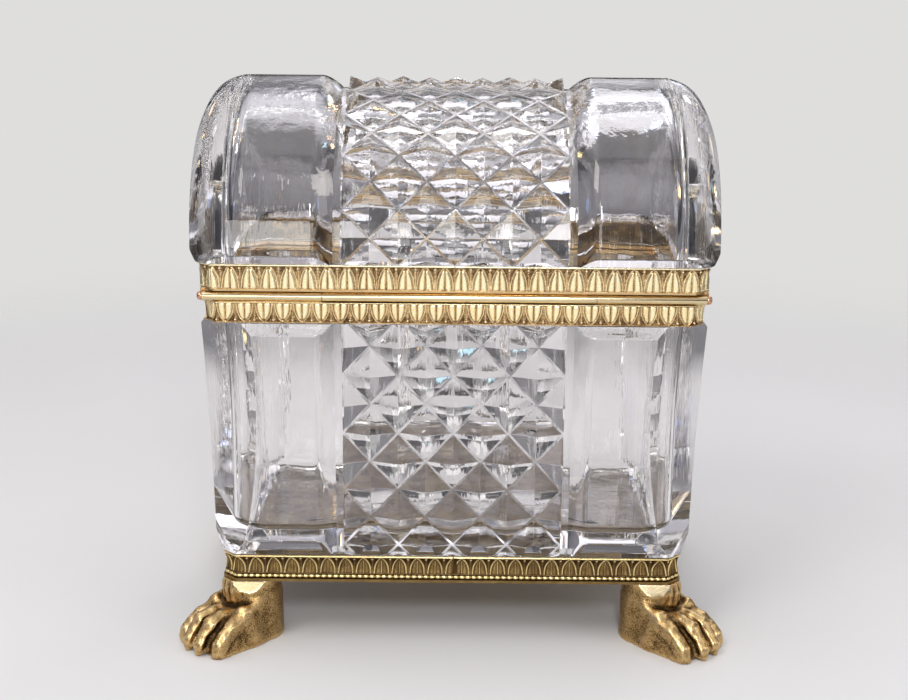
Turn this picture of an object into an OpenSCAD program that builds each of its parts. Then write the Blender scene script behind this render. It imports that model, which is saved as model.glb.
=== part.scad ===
// Cut-glass casket box: thick clear glass body and barrel-vault lid held in
// gilt metal bands, joined by a three-tube hinge along the rear, standing in a
// metal pan on four lion-paw feet.
// Units: millimetres. +Z up, floor at z = 0, X along the hinge, hinge on the -Y side.

/* [Body glass] */
// Width of the body glass at its shoulder
body_w = 140.4; // [136:0.2:146]
// Depth of the body glass at its shoulder
body_d = 87.7; // [86:0.1:90]
// How much narrower each side is at the foot than at the shoulder
body_taper = 2.9; // [2:0.1:3.4]
// Leg of the hollow-cut corner facets at mid height
body_cant = 15.6; // [13:0.1:17]
// Thickness of the glass floor
floor_t = 9.4; // [7:0.1:12]
// Half width of the body cavity
cavity_hw = 60.3; // [57:0.1:61]
// Half depth of the body cavity
cavity_hd = 34.0; // [31:0.1:34.6]

/* [Lid glass] */
// Width of the lid glass
lid_w = 143.3; // [140:0.1:146]
// Outer radius of the lid's vault
lid_r = 45.3; // [44:0.1:46]
// Inner radius of the lid's vault
lid_ri = 35.0; // [31:0.1:35.4]
// Half width of the lid cavity
lid_chw = 61.3; // [57:0.1:61.8]

/* [Cutting] */
// Distance of each upright V-groove from the middle
groove_x = 32.3; // [30:0.1:34]
// Depth of the diamond cutting
cut_d = 3.0; // [2:0.1:3.2]
// Half width of one diamond
dia_hw = 7.55; // [7:0.05:7.7]
// Half height of one diamond on the body
dia_hh = 8.26; // [8:0.02:8.6]
// Angle of half a diamond on the vault
dia_ang = 10.3; // [10:0.05:10.6]

/* [Bands] */
// Thickness of the stamped leaf strips
strip_t = 1.35; // [1:0.05:1.4]
// Leg of the bands' canted corners
band_cant = 3.8; // [3:0.1:4.4]
// Thickness of the collar and pan walls
wall_t = 1.2; // [1:0.05:1.2]

/* [Hinge] */
// Outer radius of the hinge tubes
tube_r = 1.3; // [1.2:0.05:1.3]
// Radius of the hinge pin
pin_r = 0.6; // [0.5:0.01:0.7]
// Left end of the middle tube
split_l = -35.4; // [-45:0.1:-25]
// Right end of the middle tube
split_r = 38.1; // [25:0.1:45]

/* [Feet] */
// Distance of the feet from the middle along X
foot_x = 57.0; // [54:0.1:58]
// Distance of the feet from the middle along Y
foot_y = 31.9; // [30:0.1:33]
// Height of the feet
foot_h = 18.1; // [17:0.1:18.1]

/* [Hidden] */

// levels
z_tray = foot_h;          // underside of the pan
z_neck = 22.6;            // underside of the glass
z_sole = 26.0;            // shelf of the glass over the pan's rim
z_foot = 31.1;            // foot of the upright walls
z_shou = 90.6;            // shoulder of the upright walls
z_rim = 93.4;             // shelf of the glass under the body band
z_top = 98.9;             // upper edge of the body glass
z_ax = 100.6;             // hinge axis and seam
z_lrim = 109.75;          // shelf of the lid glass over the lid band
z_spr = 111.3;            // springing of the vault
z_lbot = 102.3;           // lower edge of the lid glass

hw = body_w / 2;
hd = body_d / 2;
lhw = lid_w / 2;

// band outlines: half width, half depth at the strips' outer faces
bb = [67.75, 41.4];
lb = [68.75, 42.4];
fb = [64.7, 38.35];
y_ax = -(bb[1] - tube_r); // hinge axis

glass_c = [0.80, 0.86, 0.88, 0.45];
gilt_c = [0.80, 0.62, 0.28];
foot_c = [0.72, 0.55, 0.26];
cement_c = [0.88, 0.86, 0.80];
steel_c = [0.62, 0.60, 0.56];

// canted rectangle, moved inwards by t
module cant_rect(h, leg, t = 0) {
    a = h[0] - t;
    b = h[1] - t;
    l = max(0.2, leg - t * (2 - sqrt(2)));
    polygon([[a - l, b], [a, b - l], [a, -b + l], [a - l, -b],
             [-a + l, -b], [-a, -b + l], [-a, b - l], [-a + l, b]]);
}

module slab(h, leg, z0, z1, t = 0)
    translate([0, 0, z0]) linear_extrude(z1 - z0) cant_rect(h, leg, t);

module ring(h, leg, z0, z1, t0, t1)
    difference() {
        slab(h, leg, z0, z1, t0);
        slab(h, leg, z0 - 1, z1 + 1, t1);
    }

// rounded rectangle prism with exact round corners
module round_slab(a, b, r, z0, z1)
    translate([0, 0, z0]) {
        translate([-a + r, -b, 0]) cube([2 * (a - r), 2 * b, z1 - z0]);
        translate([-a, -b + r, 0]) cube([2 * a, 2 * (b - r), z1 - z0]);
        for (x = [-1, 1], y = [-1, 1])
            translate([x * (a - r), y * (b - r), 0]) cylinder(r = r, h = z1 - z0, $fn = 64);
    }

// profile [half width, height] pairs as a symmetric upright outline, extruded along Y
module prof_x(p, l)
    rotate([90, 0, 0]) translate([0, 0, -l / 2]) linear_extrude(l)
        polygon(concat([for (q = p) [q[0], q[1]]],
                       [for (i = [len(p) - 1:-1:0]) [-p[i][0], p[i][1]]]));

// the same, extruded along X
module prof_y(p, l) rotate([0, 0, 90]) prof_x(p, l);

// ---------------------------------------------------------------- diamond fields
// A field is a closed pad. m(x, v, d) gives the point at width x, row value v, depth d.
nx = 8;
function field_pts(vs, m, par, back) = concat(
    [for (j = [0:len(vs) - 1], i = [0:nx])
        m((i - nx / 2) * dia_hw, vs[j], (i + j + par) % 2 == 0 ? cut_d : 0.05)],
    [for (j = [0:len(vs) - 1], i = [0:nx])
        m((i - nx / 2) * dia_hw * (1 + 0.12 / nx * 2 * (i == 0 || i == nx ? 1 : 0)), vs[j], back)]);

function field_faces(nv, par) =
    let (n = (nx + 1) * nv, w = nx + 1)
    concat(
        // cut surface, each cell split along its groove
        [for (j = [0:nv - 2], i = [0:nx - 1])
            let (a = j * w + i, b = a + 1, c = a + w + 1, d = a + w)
            each ((i + j + par) % 2 == 0 ? [[a, c, b], [a, d, c]] : [[a, d, b], [b, d, c]])],
        // back
        [for (j = [0:nv - 2], i = [0:nx - 1])
            let (a = n + j * w + i, b = a + 1, c = a + w + 1, d = a + w)
            each [[a, b, c], [a, c, d]]],
        // ends
        [for (i = [0:nx - 1]) each [[i, i + 1, n + i + 1], [i, n + i + 1, n + i]]],
        [for (i = [0:nx - 1]) let (o = (nv - 1) * w)
            each [[o + i + 1, o + i, n + o + i], [o + i + 1, n + o + i, n + o + i + 1]]],
        // sides
        [for (j = [0:nv - 2]) let (a = j * w, b = a + w) each [[b, a, n + a], [b, n + a, n + b]]],
        [for (j = [0:nv - 2]) let (a = j * w + nx, b = a + w) each [[a, b, n + b], [a, n + b, n + a]]]
    );

function body_face_y(z) = hd - (z_shou - z) * body_taper / (z_shou - z_foot);
module body_field() {
    vs = [for (j = [-1:8]) 29.5 + dia_hh * j];
    m = function (x, v, d) [x, -body_face_y(v) + d, v];
    polyhedron(field_pts(vs, m, 1, 4.4), field_faces(len(vs), 1), convexity = 8);
}

module lid_field() {
    vs = [for (j = [0:18]) 90 + dia_ang * (j - 9)];
    m = function (x, v, d) [x, -(lid_r - d) * cos(v), z_spr + (lid_r - d) * sin(v)];
    polyhedron(field_pts(vs, m, 0, 4.4), field_faces(len(vs), 0), convexity = 8);
}

// ---------------------------------------------------------------- body
module body_envelope() {
    px = [[64.6, z_sole], [hw - body_taper, z_foot], [hw, z_shou], [hw - 2.5, z_rim]];
    py = [[38.25, z_sole], [hd - body_taper, z_foot], [hd, z_shou], [hd - 2.5, z_rim]];
    intersection() {
        prof_x(px, 200);
        prof_y(py, 200);
    }
}

module body_glass() color(glass_c) {
    lean = atan(body_taper / (z_shou - z_foot));
    rc = 271;
    difference() {
        union() {
            difference() {
                body_envelope();
                // flute and field bed on both long faces
                for (s = [0, 180]) rotate([0, 0, s])
                    translate([0, -hd + body_taper, z_foot]) rotate([lean, 0, 0])
                        translate([0, 0, -20]) linear_extrude(100)
                            polygon([[-38, -0.6], [-37.2, 0], [-34.6, 1.1], [-groove_x, 3.3],
                                     [groove_x, 3.3], [34.6, 1.1], [37.2, 0], [38, -0.6]]);
            }
            for (s = [0, 180]) rotate([0, 0, s]) intersection() {
                body_field();
                body_envelope();
            }
            slab([64.6, 38.3], 12, z_rim - 4, z_top);
            slab([60.9, 34.6], 8, z_neck, z_sole + 4);
        }
        // hollow-cut corners
        for (sx = [-1, 1], sy = [-1, 1]) {
            a = (sy == sx ? 45 : -45) + (sx < 0 ? 180 : 0);
            translate([sx * (hw - 1.2), sy * (hd - 1.2), 62]) rotate([0, 0, a])
                translate([rc - body_cant / sqrt(2), 0, 0]) rotate([90, 0, 0])
                    cylinder(r = rc, h = 60, center = true, $fn = 360);
        }
        round_slab(cavity_hw, cavity_hd, 6, z_neck + floor_t, z_top + 5);
    }
}

module body_collar() color(gilt_c) difference() {
    union() {
        ring(bb, band_cant, z_rim + 0.1, z_ax - 0.15, strip_t, strip_t + wall_t);
        // lower web that closes the corners
        difference() {
            slab(bb, band_cant, z_rim + 0.1, z_rim + 0.9, strip_t);
            slab([64.7, 38.4], 12, z_rim - 1, z_rim + 2);
        }
        // seat over the glass rim and its rounded edge
        difference() {
            union() {
                slab(bb, band_cant, 99.2, z_ax - 0.15, 0.75);
                slab(bb, band_cant, 99.5, z_ax - 0.45, 0.45);
            }
            round_slab(cavity_hw, cavity_hd, 6, 99, z_ax + 1);
        }
    }
    // bed of the hinge
    translate([-80, -60, 98.95]) cube([160, 60 - 38.6, 5]);
}

module body_frieze() color(gilt_c) difference() {
    union() {
        ring(bb, band_cant, z_rim, 99.15, 0.45, strip_t);
        ring(bb, band_cant, z_rim, z_rim + 0.7, 0, strip_t);
        ring(bb, band_cant, 98.45, 99.15, 0, strip_t);
    }
    // butt seam on the hinge side
    translate([2.92, -60, z_rim - 1]) cube([0.16, 25, 8]);
}

module body_bedding() color(cement_c) difference() {
    slab(bb, band_cant, z_rim + 0.9, 99.2, strip_t + wall_t);
    slab([64.6, 38.3], 12, z_rim - 1, z_top);
    round_slab(cavity_hw, cavity_hd, 6, z_rim - 1, z_ax);
    translate([-80, -60, 98.95]) cube([160, 60 - 38.6, 5]);
}

// ---------------------------------------------------------------- pan and feet
module at_feet() for (x = [-foot_x, foot_x], y = [-foot_y, foot_y]) translate([x, y, 0]) children();

module base_tray() color(gilt_c) difference() {
    union() {
        slab(fb, band_cant, z_tray, z_tray + 0.8, -0.15);
        slab(fb, band_cant, z_tray, 25.7, strip_t);
    }
    slab(fb, band_cant, z_tray + 1.6, 24.9, strip_t + wall_t);
    slab([61.0, 34.7], 8, 24, 27);
    at_feet() translate([0, 0, 10]) cylinder(r = 2.15, h = 20, $fn = 48);
}

module base_frieze() color(gilt_c) difference() {
    union() {
        ring(fb, band_cant, 20.2, 25.8, 0.45, strip_t);
        ring(fb, band_cant, 20.2, 20.6, 0.2, strip_t);
        ring(fb, band_cant, 25.1, 25.8, 0, strip_t);
    }
    translate([0.27, -60, 19]) cube([0.16, 25, 8]);
}

module base_bead() color(gilt_c) {
    ring(fb, band_cant, 19.0, 20.1, 0.3, strip_t);
    ring(fb, band_cant, 19.25, 19.85, 0.0, strip_t);
}

module base_bedding() color(cement_c) difference() {
    slab(fb, band_cant, z_tray + 1.6, 24.9, strip_t + wall_t);
    slab([60.9, 34.6], 8, z_neck, 30);
    at_feet() translate([0, 0, 15]) cylinder(r = 4.2, h = z_neck - 15.2, $fn = 48);
}

module foot_studs() color(steel_c) at_feet()
    translate([0, 0, 7.2]) cylinder(r = 2.0, h = 14.8, $fn = 48);

module foot_nuts() color(steel_c) at_feet()
    translate([0, 0, z_tray + 1.6]) difference() {
        cylinder(r = 4.0, h = 2.0, $fn = 6);
        translate([0, 0, -1]) cylinder(r = 2.05, h = 4, $fn = 48);
    }

function toe_v(i) = (i - 1.5) * 4.9;
// Lion-paw foot. Local +X is the way the toes point.
module paw() color(foot_c) difference() {
    union() {
        // ankle, up to the pan
        translate([0.4, 0, 4]) cylinder(r = 8.6, h = foot_h - 4, $fn = 64);
        // instep and heel
        hull() {
            translate([-1.2, 0, 3.0]) sphere(r = 8.9, $fn = 24);
            translate([10.5, 0, 3.4]) sphere(r = 7.4, $fn = 24);
            translate([9.5, 3.6, 2.4]) sphere(r = 5.6, $fn = 20);
            translate([9.5, -3.6, 2.4]) sphere(r = 5.6, $fn = 20);
        }
        // toes
        for (i = [0:3]) hull() {
            k = abs(i - 1.5) > 1 ? 1 : 0;
            translate([8, toe_v(i) * 0.80, 5.2]) sphere(r = 3.6, $fn = 18);
            translate([14.6 - 1.8 * k, toe_v(i) * 0.96, 7.2 - 1.0 * k]) sphere(r = 3.1, $fn = 18);
            translate([19.8 - 2.6 * k, toe_v(i) * 1.02, 3.0]) sphere(r = 2.9, $fn = 18);
        }
        // tuft of fur that hangs over the toes
        hull() {
            translate([5.8, 0, 15.6]) sphere(r = 3.2, $fn = 20);
            translate([3.4, 5.4, 14.6]) sphere(r = 3.0, $fn = 20);
            translate([3.4, -5.4, 14.6]) sphere(r = 3.0, $fn = 20);
            translate([6.6, 0, 13.4]) sphere(r = 2.6, $fn = 20);
        }
    }
    translate([-50, -50, -50]) cube([100, 100, 50]);
    translate([-50, -50, foot_h]) cube([100, 100, 50]);
    translate([0, 0, 7]) cylinder(r = 2.05, h = 20, $fn = 48);
}

module foot_at(sx, sy) difference() {
    translate([sx * foot_x, sy * foot_y, 0])
        rotate([0, 0, sx > 0 ? sy * 45 : 180 - sy * 45]) paw();
    // flats filed on the ankle just under the pan's edges
    translate([sx * foot_x, sy * (fb[1] + 0.15), foot_h]) rotate([0, 0, sy > 0 ? 180 : 0])
        rotate([63.9, 0, 0]) translate([-15, -5.6, 0]) cube([30, 10.6, 10]);
    translate([sx * (fb[0] + 0.15), sy * foot_y, foot_h]) rotate([0, 0, sx > 0 ? 90 : -90])
        rotate([63.9, 0, 0]) translate([-15, -5.6, 0]) cube([30, 10.6, 10]);
}

module foot_hinge_left() foot_at(-1, -1);
module foot_hinge_right() foot_at(1, -1);
module foot_front_left() foot_at(-1, 1);
module foot_front_right() foot_at(1, 1);

// ---------------------------------------------------------------- hinge
module x_rod(x0, x1, r) translate([x0, y_ax, z_ax]) rotate([0, 90, 0]) cylinder(r = r, h = x1 - x0, $fn = 64);

module knuckle(x0, x1, neck_z0, neck_z1, bore) color(gilt_c) difference() {
    union() {
        x_rod(x0, x1, tube_r);
        translate([x0, y_ax + 0.05, neck_z0]) cube([x1 - x0, 1.4, neck_z1 - neck_z0]);
    }
    x_rod(x0 - 1, x1 + 1, bore);
    // the neck stays clear of the leaf strip's canted corners
    for (s = [-1, 1]) translate([s * 70.3 - 7, -60, 98]) cube([14, 40, 1.2]);
}

module hinge_knuckle_left() knuckle(-67.5, split_l - 0.08, 98.95, z_ax - 0.3, pin_r + 0.02);
module hinge_knuckle_right() knuckle(split_r + 0.08, 67.5, 98.95, z_ax - 0.3, pin_r + 0.02);
module hinge_knuckle_centre() knuckle(split_l + 0.08, split_r - 0.08, z_ax + 0.3, z_ax + 1.5, pin_r + 0.04);
module hinge_pin() color(gilt_c) {
    x_rod(-68.2, 68.2, pin_r);
    // riveted heads
    for (s = [0, 180]) translate([0, y_ax, z_ax]) rotate([0, 0, s]) rotate([0, 90, 0])
        rotate_extrude($fn = 64) polygon([[0, 67.55], [1.12, 67.55], [1.15, 67.8], [1.15, 68.2],
                                          [1.02, 68.6], [0.7, 68.85], [0, 68.95]]);
}

// ---------------------------------------------------------------- lid
module lid_envelope() {
    px = [[lhw - 2.3, z_lrim], [lhw, z_lrim + 2.3], [lhw, z_spr + 60]];
    py = [[lid_r - 2.3, z_lrim], [lid_r, z_lrim + 2.3], [lid_r, z_spr + 60]];
    intersection() {
        prof_x(px, 200);
        prof_y(py, 200);
    }
}

// full turn about the X axis through the springing
module lathe_x(p) translate([0, 0, z_spr]) rotate([0, 90, 0]) rotate_extrude($fn = 180) polygon(p);

module lid_glass() color(glass_c) difference() {
    union() {
        intersection() {
            lathe_x([[0, -lhw], [lid_r - 11.3, -lhw], [lid_r - 6.8, -69.9], [lid_r - 2.2, -66.2],
                     [lid_r - 0.4, -63.2], [lid_r, -60.3],
                     [lid_r, -38.6], [lid_r - 1.1, -35.2], [lid_r - 3.4, -groove_x],
                     [lid_r - 3.4, groove_x], [lid_r - 1.1, 35.2], [lid_r, 38.6],
                     [lid_r, 60.3], [lid_r - 0.4, 63.2], [lid_r - 2.2, 66.2],
                     [lid_r - 6.8, 69.9], [lid_r - 11.3, lhw], [0, lhw]]);
            lid_envelope();
        }
        intersection() {
            lid_field();
            lid_envelope();
        }
        slab([65.6, 39.25], 6, z_lbot, z_lrim + 3);
    }
    translate([-lid_chw, -lid_ri, z_lbot - 5]) cube([2 * lid_chw, 2 * lid_ri, z_spr - z_lbot + 5]);
    intersection() {
        translate([-lid_chw, 0, z_spr]) rotate([0, 90, 0]) cylinder(r = lid_ri, h = 2 * lid_chw, $fn = 180);
        translate([-100, -100, z_spr]) cube([200, 200, 100]);
    }
}

module lid_collar() color(gilt_c) difference() {
    union() {
        ring(lb, band_cant, z_ax + 0.15, 109.5, strip_t, strip_t + wall_t);
        // upper web that closes the corners
        difference() {
            slab(lb, band_cant, 108.7, 109.5, strip_t);
            slab([65.7, 39.35], 6, 108, 111);
        }
        // seat under the glass rim and its rounded edge
        difference() {
            union() {
                slab(lb, band_cant, z_ax + 0.15, 102.0, strip_t);
                intersection() {
                    union() {
                        slab(lb, band_cant, z_ax + 0.15, 102.6, 0.75);
                        slab(lb, band_cant, z_ax + 0.45, 102.3, 0.45);
                    }
                    translate([-80, -38.5, 90]) cube([160, 100, 20]);
                }
            }
            translate([-lid_chw, -lid_ri, 99]) cube([2 * lid_chw, 2 * lid_ri, 10]);
        }
    }
    difference() {
        slab(lb, band_cant, 102.0, 108.7, strip_t + wall_t);
        translate([-80, -80, 0]) cube([160, 160, 102.0]);
    }
    // bed of the hinge
    translate([-80, -60, 98]) cube([160, 60 - 38.5, z_ax + 1.5 - 98]);
}

module lid_frieze() color(gilt_c) difference() {
    union() {
        ring(lb, band_cant, 102.7, 109.65, 0.45, strip_t);
        ring(lb, band_cant, 102.7, 103.4, 0, strip_t);
        ring(lb, band_cant, 108.9, 109.65, 0, strip_t);
    }
    translate([-0.08, -60, 101]) cube([0.16, 25, 10]);
}

module lid_bedding() color(cement_c) difference() {
    slab(lb, band_cant, 102.1, 108.7, strip_t + wall_t);
    slab([65.6, 39.25], 6, z_lbot, 110);
    translate([-lid_chw, -lid_ri, 99]) cube([2 * lid_chw, 2 * lid_ri, 20]);
}

module thumb_tab() color(gilt_c) difference() {
    translate([0, 0, 101.05]) union() {
        translate([-6, lb[1] - 0.45, 0]) cube([12, 1.5, 1.2]);
        translate([0, lb[1] + 1.05, 0]) intersection() {
            cylinder(r = 6, h = 1.2, $fn = 64);
            translate([-10, 0, -1]) cube([20, 3.4, 4]);
        }
    }
}

body_glass();
body_collar();
body_frieze();
body_bedding();
base_tray();
base_frieze();
base_bead();
base_bedding();
foot_hinge_left();
foot_hinge_right();
foot_front_left();
foot_front_right();
foot_studs();
foot_nuts();
hinge_knuckle_left();
hinge_knuckle_right();
hinge_knuckle_centre();
hinge_pin();
lid_glass();
lid_collar();
lid_frieze();
lid_bedding();
thumb_tab();
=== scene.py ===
"""Looks for the cut-glass casket box: thick cut crystal, stamped gilt leaf bands, three-tube hinge, lion-paw feet.

All shapes are computed in millimetres in the row frame and scaled to metres when they become meshes.
"""
import math

import bmesh
import bpy
import numpy as np
from mathutils import Matrix, Vector


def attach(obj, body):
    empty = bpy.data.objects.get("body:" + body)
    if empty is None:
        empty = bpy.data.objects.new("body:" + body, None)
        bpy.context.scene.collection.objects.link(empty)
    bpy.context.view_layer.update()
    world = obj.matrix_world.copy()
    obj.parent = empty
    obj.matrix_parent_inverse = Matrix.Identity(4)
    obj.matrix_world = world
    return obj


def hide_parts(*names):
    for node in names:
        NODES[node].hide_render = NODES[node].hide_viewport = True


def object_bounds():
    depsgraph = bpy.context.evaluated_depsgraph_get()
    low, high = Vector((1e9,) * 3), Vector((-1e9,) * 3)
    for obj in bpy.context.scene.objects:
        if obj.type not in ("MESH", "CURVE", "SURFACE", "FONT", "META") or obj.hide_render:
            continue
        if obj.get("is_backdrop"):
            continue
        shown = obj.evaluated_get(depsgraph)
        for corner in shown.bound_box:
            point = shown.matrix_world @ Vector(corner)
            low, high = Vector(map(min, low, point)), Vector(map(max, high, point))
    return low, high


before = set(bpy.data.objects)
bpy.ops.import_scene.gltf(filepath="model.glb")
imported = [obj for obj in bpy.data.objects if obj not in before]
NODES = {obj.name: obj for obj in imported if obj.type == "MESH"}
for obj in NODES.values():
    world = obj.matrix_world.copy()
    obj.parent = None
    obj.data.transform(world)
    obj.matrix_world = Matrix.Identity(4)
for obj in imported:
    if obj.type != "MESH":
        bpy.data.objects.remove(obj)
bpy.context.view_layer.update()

scene = bpy.context.scene

# ------------------------------------------------------------------ dimensions, mm
HW, HD, LHW, LR = 70.2, 43.85, 71.65, 45.3
BB, LB, FB = (67.75, 41.4), (68.75, 42.4), (64.7, 38.35)
CANT = 3.8
Z_NECK, Z_SOLE, Z_FOOT, Z_SHOU, Z_RIM, Z_TOP = 22.6, 26.0, 31.1, 90.6, 93.4, 98.9
Z_AX, Z_LRIM, Z_SPR, Z_LBOT = 100.6, 109.75, 111.3, 102.3
Y_AX = -40.1
TAPER = 2.9
CUT, DHW, DHH, DANG = 3.0, 7.55, 8.26, 10.3
FOOT = (57.0, 31.9)
FOOT_H = 18.1


# ------------------------------------------------------------------ mesh helpers
def link(obj):
    scene.collection.objects.link(obj)
    return obj


def make(name, verts, faces, mats, index=None, smooth=True):
    """A mesh object from points in mm."""
    me = bpy.data.meshes.new(name)
    me.from_pydata((np.asarray(verts, float) * 0.001).tolist(), [], [list(map(int, f)) for f in faces])
    for m in mats:
        me.materials.append(m)
    if index is not None:
        me.polygons.foreach_set("material_index", np.asarray(index, np.int32))
    me.polygons.foreach_set("use_smooth", np.full(len(me.polygons), smooth))
    me.validate()
    me.update()
    return link(bpy.data.objects.new(name, me))


def grid_mesh(name, pts, mats, closed=True, caps=True, attr=None, ring=False):
    """pts is cols x rows x 3 in mm. Rows close on themselves when closed, columns when ring."""
    n, m = pts.shape[:2]
    i = np.arange(n if ring else n - 1)
    j = np.arange(m if closed else m - 1)
    I, J = np.meshgrid(i, j, indexing="ij")
    a = I * m + J
    b = ((I + 1) % n) * m + J
    c = ((I + 1) % n) * m + (J + 1) % m
    d = I * m + (J + 1) % m
    quads = np.stack([a, b, c, d], -1).reshape(-1, 4)
    me = bpy.data.meshes.new(name)
    v = (pts.reshape(-1, 3) * 0.001).astype(np.float32)
    loops = quads.ravel()
    starts = np.arange(0, len(loops), 4)
    totals = np.full(len(quads), 4)
    if closed and caps and not ring:
        cap0 = np.arange(m)[::-1]
        cap1 = (n - 1) * m + np.arange(m)
        loops = np.concatenate([loops, cap0, cap1])
        starts = np.concatenate([starts, [len(quads) * 4, len(quads) * 4 + m]])
        totals = np.concatenate([totals, [m, m]])
    me.vertices.add(len(v))
    me.vertices.foreach_set("co", v.ravel())
    me.loops.add(len(loops))
    me.loops.foreach_set("vertex_index", loops.astype(np.int32))
    me.polygons.add(len(starts))
    me.polygons.foreach_set("loop_start", starts.astype(np.int32))
    me.polygons.foreach_set("use_smooth", np.ones(len(starts), bool))
    me.update(calc_edges=True)
    me.validate()
    for mt in mats:
        me.materials.append(mt)
    if attr is not None:
        for key, val in attr.items():
            at = me.attributes.new(key, "FLOAT", "POINT")
            at.data.foreach_set("value", val.astype(np.float32).ravel())
    return link(bpy.data.objects.new(name, me))


def sharpen(obj, degrees, weighted=True):
    """Smooth faces, hard edges above the angle, normals weighted by face area."""
    me = obj.data
    bm = bmesh.new()
    bm.from_mesh(me)
    lim = math.radians(degrees)
    for e in bm.edges:
        e.smooth = not (len(e.link_faces) != 2 or e.calc_face_angle(0.0) > lim)
    for f in bm.faces:
        f.smooth = True
    bm.to_mesh(me)
    bm.free()
    if weighted:
        mod = obj.modifiers.new("wn", "WEIGHTED_NORMAL")
        mod.mode = "FACE_AREA"
        mod.weight = 100
        mod.keep_sharp = True
        apply_mods(obj)
    return obj


def apply_mods(obj):
    dg = bpy.context.evaluated_depsgraph_get()
    new = bpy.data.meshes.new_from_object(obj.evaluated_get(dg), preserve_all_data_layers=True, depsgraph=dg)
    new.name = obj.name
    obj.modifiers.clear()
    obj.data = new
    return obj


def boolean(a, b, how):
    mod = a.modifiers.new("b", "BOOLEAN")
    mod.operation = how
    mod.object = b
    mod.solver = "MANIFOLD"
    apply_mods(a)
    if len(a.data.polygons) == 0:
        raise RuntimeError(f"boolean {how} of {a.name} with {b.name} came back empty")
    bpy.data.objects.remove(b)
    return a


def volume_cm3(obj):
    bm = bmesh.new()
    bm.from_mesh(obj.data)
    v = bm.calc_volume() * 1e6
    bad = sum(1 for e in bm.edges if len(e.link_faces) != 2)
    bm.free()
    return round(v, 2), bad


def cad_copy(node, name, mats, bevel=0.12, segs=2, angle=30):
    """A new piece from a CAD node's shape, welded, its edges eased."""
    me = NODES[node].data.copy()
    me.materials.clear()
    for m in mats:
        me.materials.append(m)
    obj = link(bpy.data.objects.new(name, me))
    bm = bmesh.new()
    bm.from_mesh(me)
    bmesh.ops.remove_doubles(bm, verts=bm.verts, dist=2e-6)
    bmesh.ops.dissolve_limit(bm, angle_limit=math.radians(0.5), verts=bm.verts, edges=bm.edges)
    bm.to_mesh(me)
    bm.free()
    if "custom_normal" in me.attributes:
        me.attributes.remove(me.attributes["custom_normal"])
    if bevel:
        mod = obj.modifiers.new("bevel", "BEVEL")
        mod.width = bevel * 0.001
        mod.segments = segs
        mod.limit_method = "ANGLE"
        mod.angle_limit = math.radians(angle)
        mod.use_clamp_overlap = True
        apply_mods(obj)
    sharpen(obj, 40)
    return obj


# ------------------------------------------------------------------ node helpers
class Tree:
    def __init__(self, tree):
        self.t = tree
        tree.nodes.clear()

    def n(self, kind, **props):
        node = self.t.nodes.new(kind)
        ins = props.pop("ins", {})
        for k, v in props.items():
            setattr(node, k, v)
        for k, v in ins.items():
            if hasattr(v, "is_linked"):
                self.t.links.new(v, node.inputs[k])
            else:
                node.inputs[k].default_value = v
        return node

    def math(self, op, a, b=0.0, c=None, clamp=False):
        ins = {0: a, 1: b}
        if c is not None:
            ins[2] = c
        return self.n("ShaderNodeMath", operation=op, use_clamp=clamp, ins=ins).outputs[0]

    def mix(self, fac, a, b, blend="MIX"):
        node = self.t.nodes.new("ShaderNodeMix")
        node.data_type = "RGBA"
        node.blend_type = blend
        for k, v in ((0, fac), (6, a), (7, b)):
            if hasattr(v, "is_linked"):
                self.t.links.new(v, node.inputs[k])
            else:
                node.inputs[k].default_value = v if k == 0 else (*v, 1.0) if len(v) == 3 else v
        return node.outputs[2]

    def ramp(self, fac, stops, interp="LINEAR"):
        node = self.t.nodes.new("ShaderNodeValToRGB")
        cr = node.color_ramp
        cr.interpolation = interp
        while len(cr.elements) > 1:
            cr.elements.remove(cr.elements[-1])
        cr.elements[0].position = stops[0][0]
        cr.elements[0].color = (*stops[0][1], 1)
        for p, c in stops[1:]:
            e = cr.elements.new(p)
            e.color = (*c, 1)
        self.t.links.new(fac, node.inputs[0])
        return node.outputs[0]

    def noise(self, vec, scale, detail=3.0, rough=0.5, distortion=0.0):
        return self.n("ShaderNodeTexNoise", ins={"Vector": vec, "Scale": scale, "Detail": detail,
                                                 "Roughness": rough, "Distortion": distortion}).outputs["Fac"]


def material(name):
    m = bpy.data.materials.new(name)
    m.use_nodes = True
    t = Tree(m.node_tree)
    out = t.n("ShaderNodeOutputMaterial")
    bsdf = t.n("ShaderNodeBsdfPrincipled")
    t.t.links.new(bsdf.outputs[0], out.inputs[0])
    return m, t, bsdf


def put(t, bsdf, **ins):
    for k, v in ins.items():
        k = k.replace("_", " ")
        if hasattr(v, "is_linked"):
            t.t.links.new(v, bsdf.inputs[k])
        else:
            bsdf.inputs[k].default_value = (*v, 1.0) if isinstance(v, tuple) and len(v) == 3 else v


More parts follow.
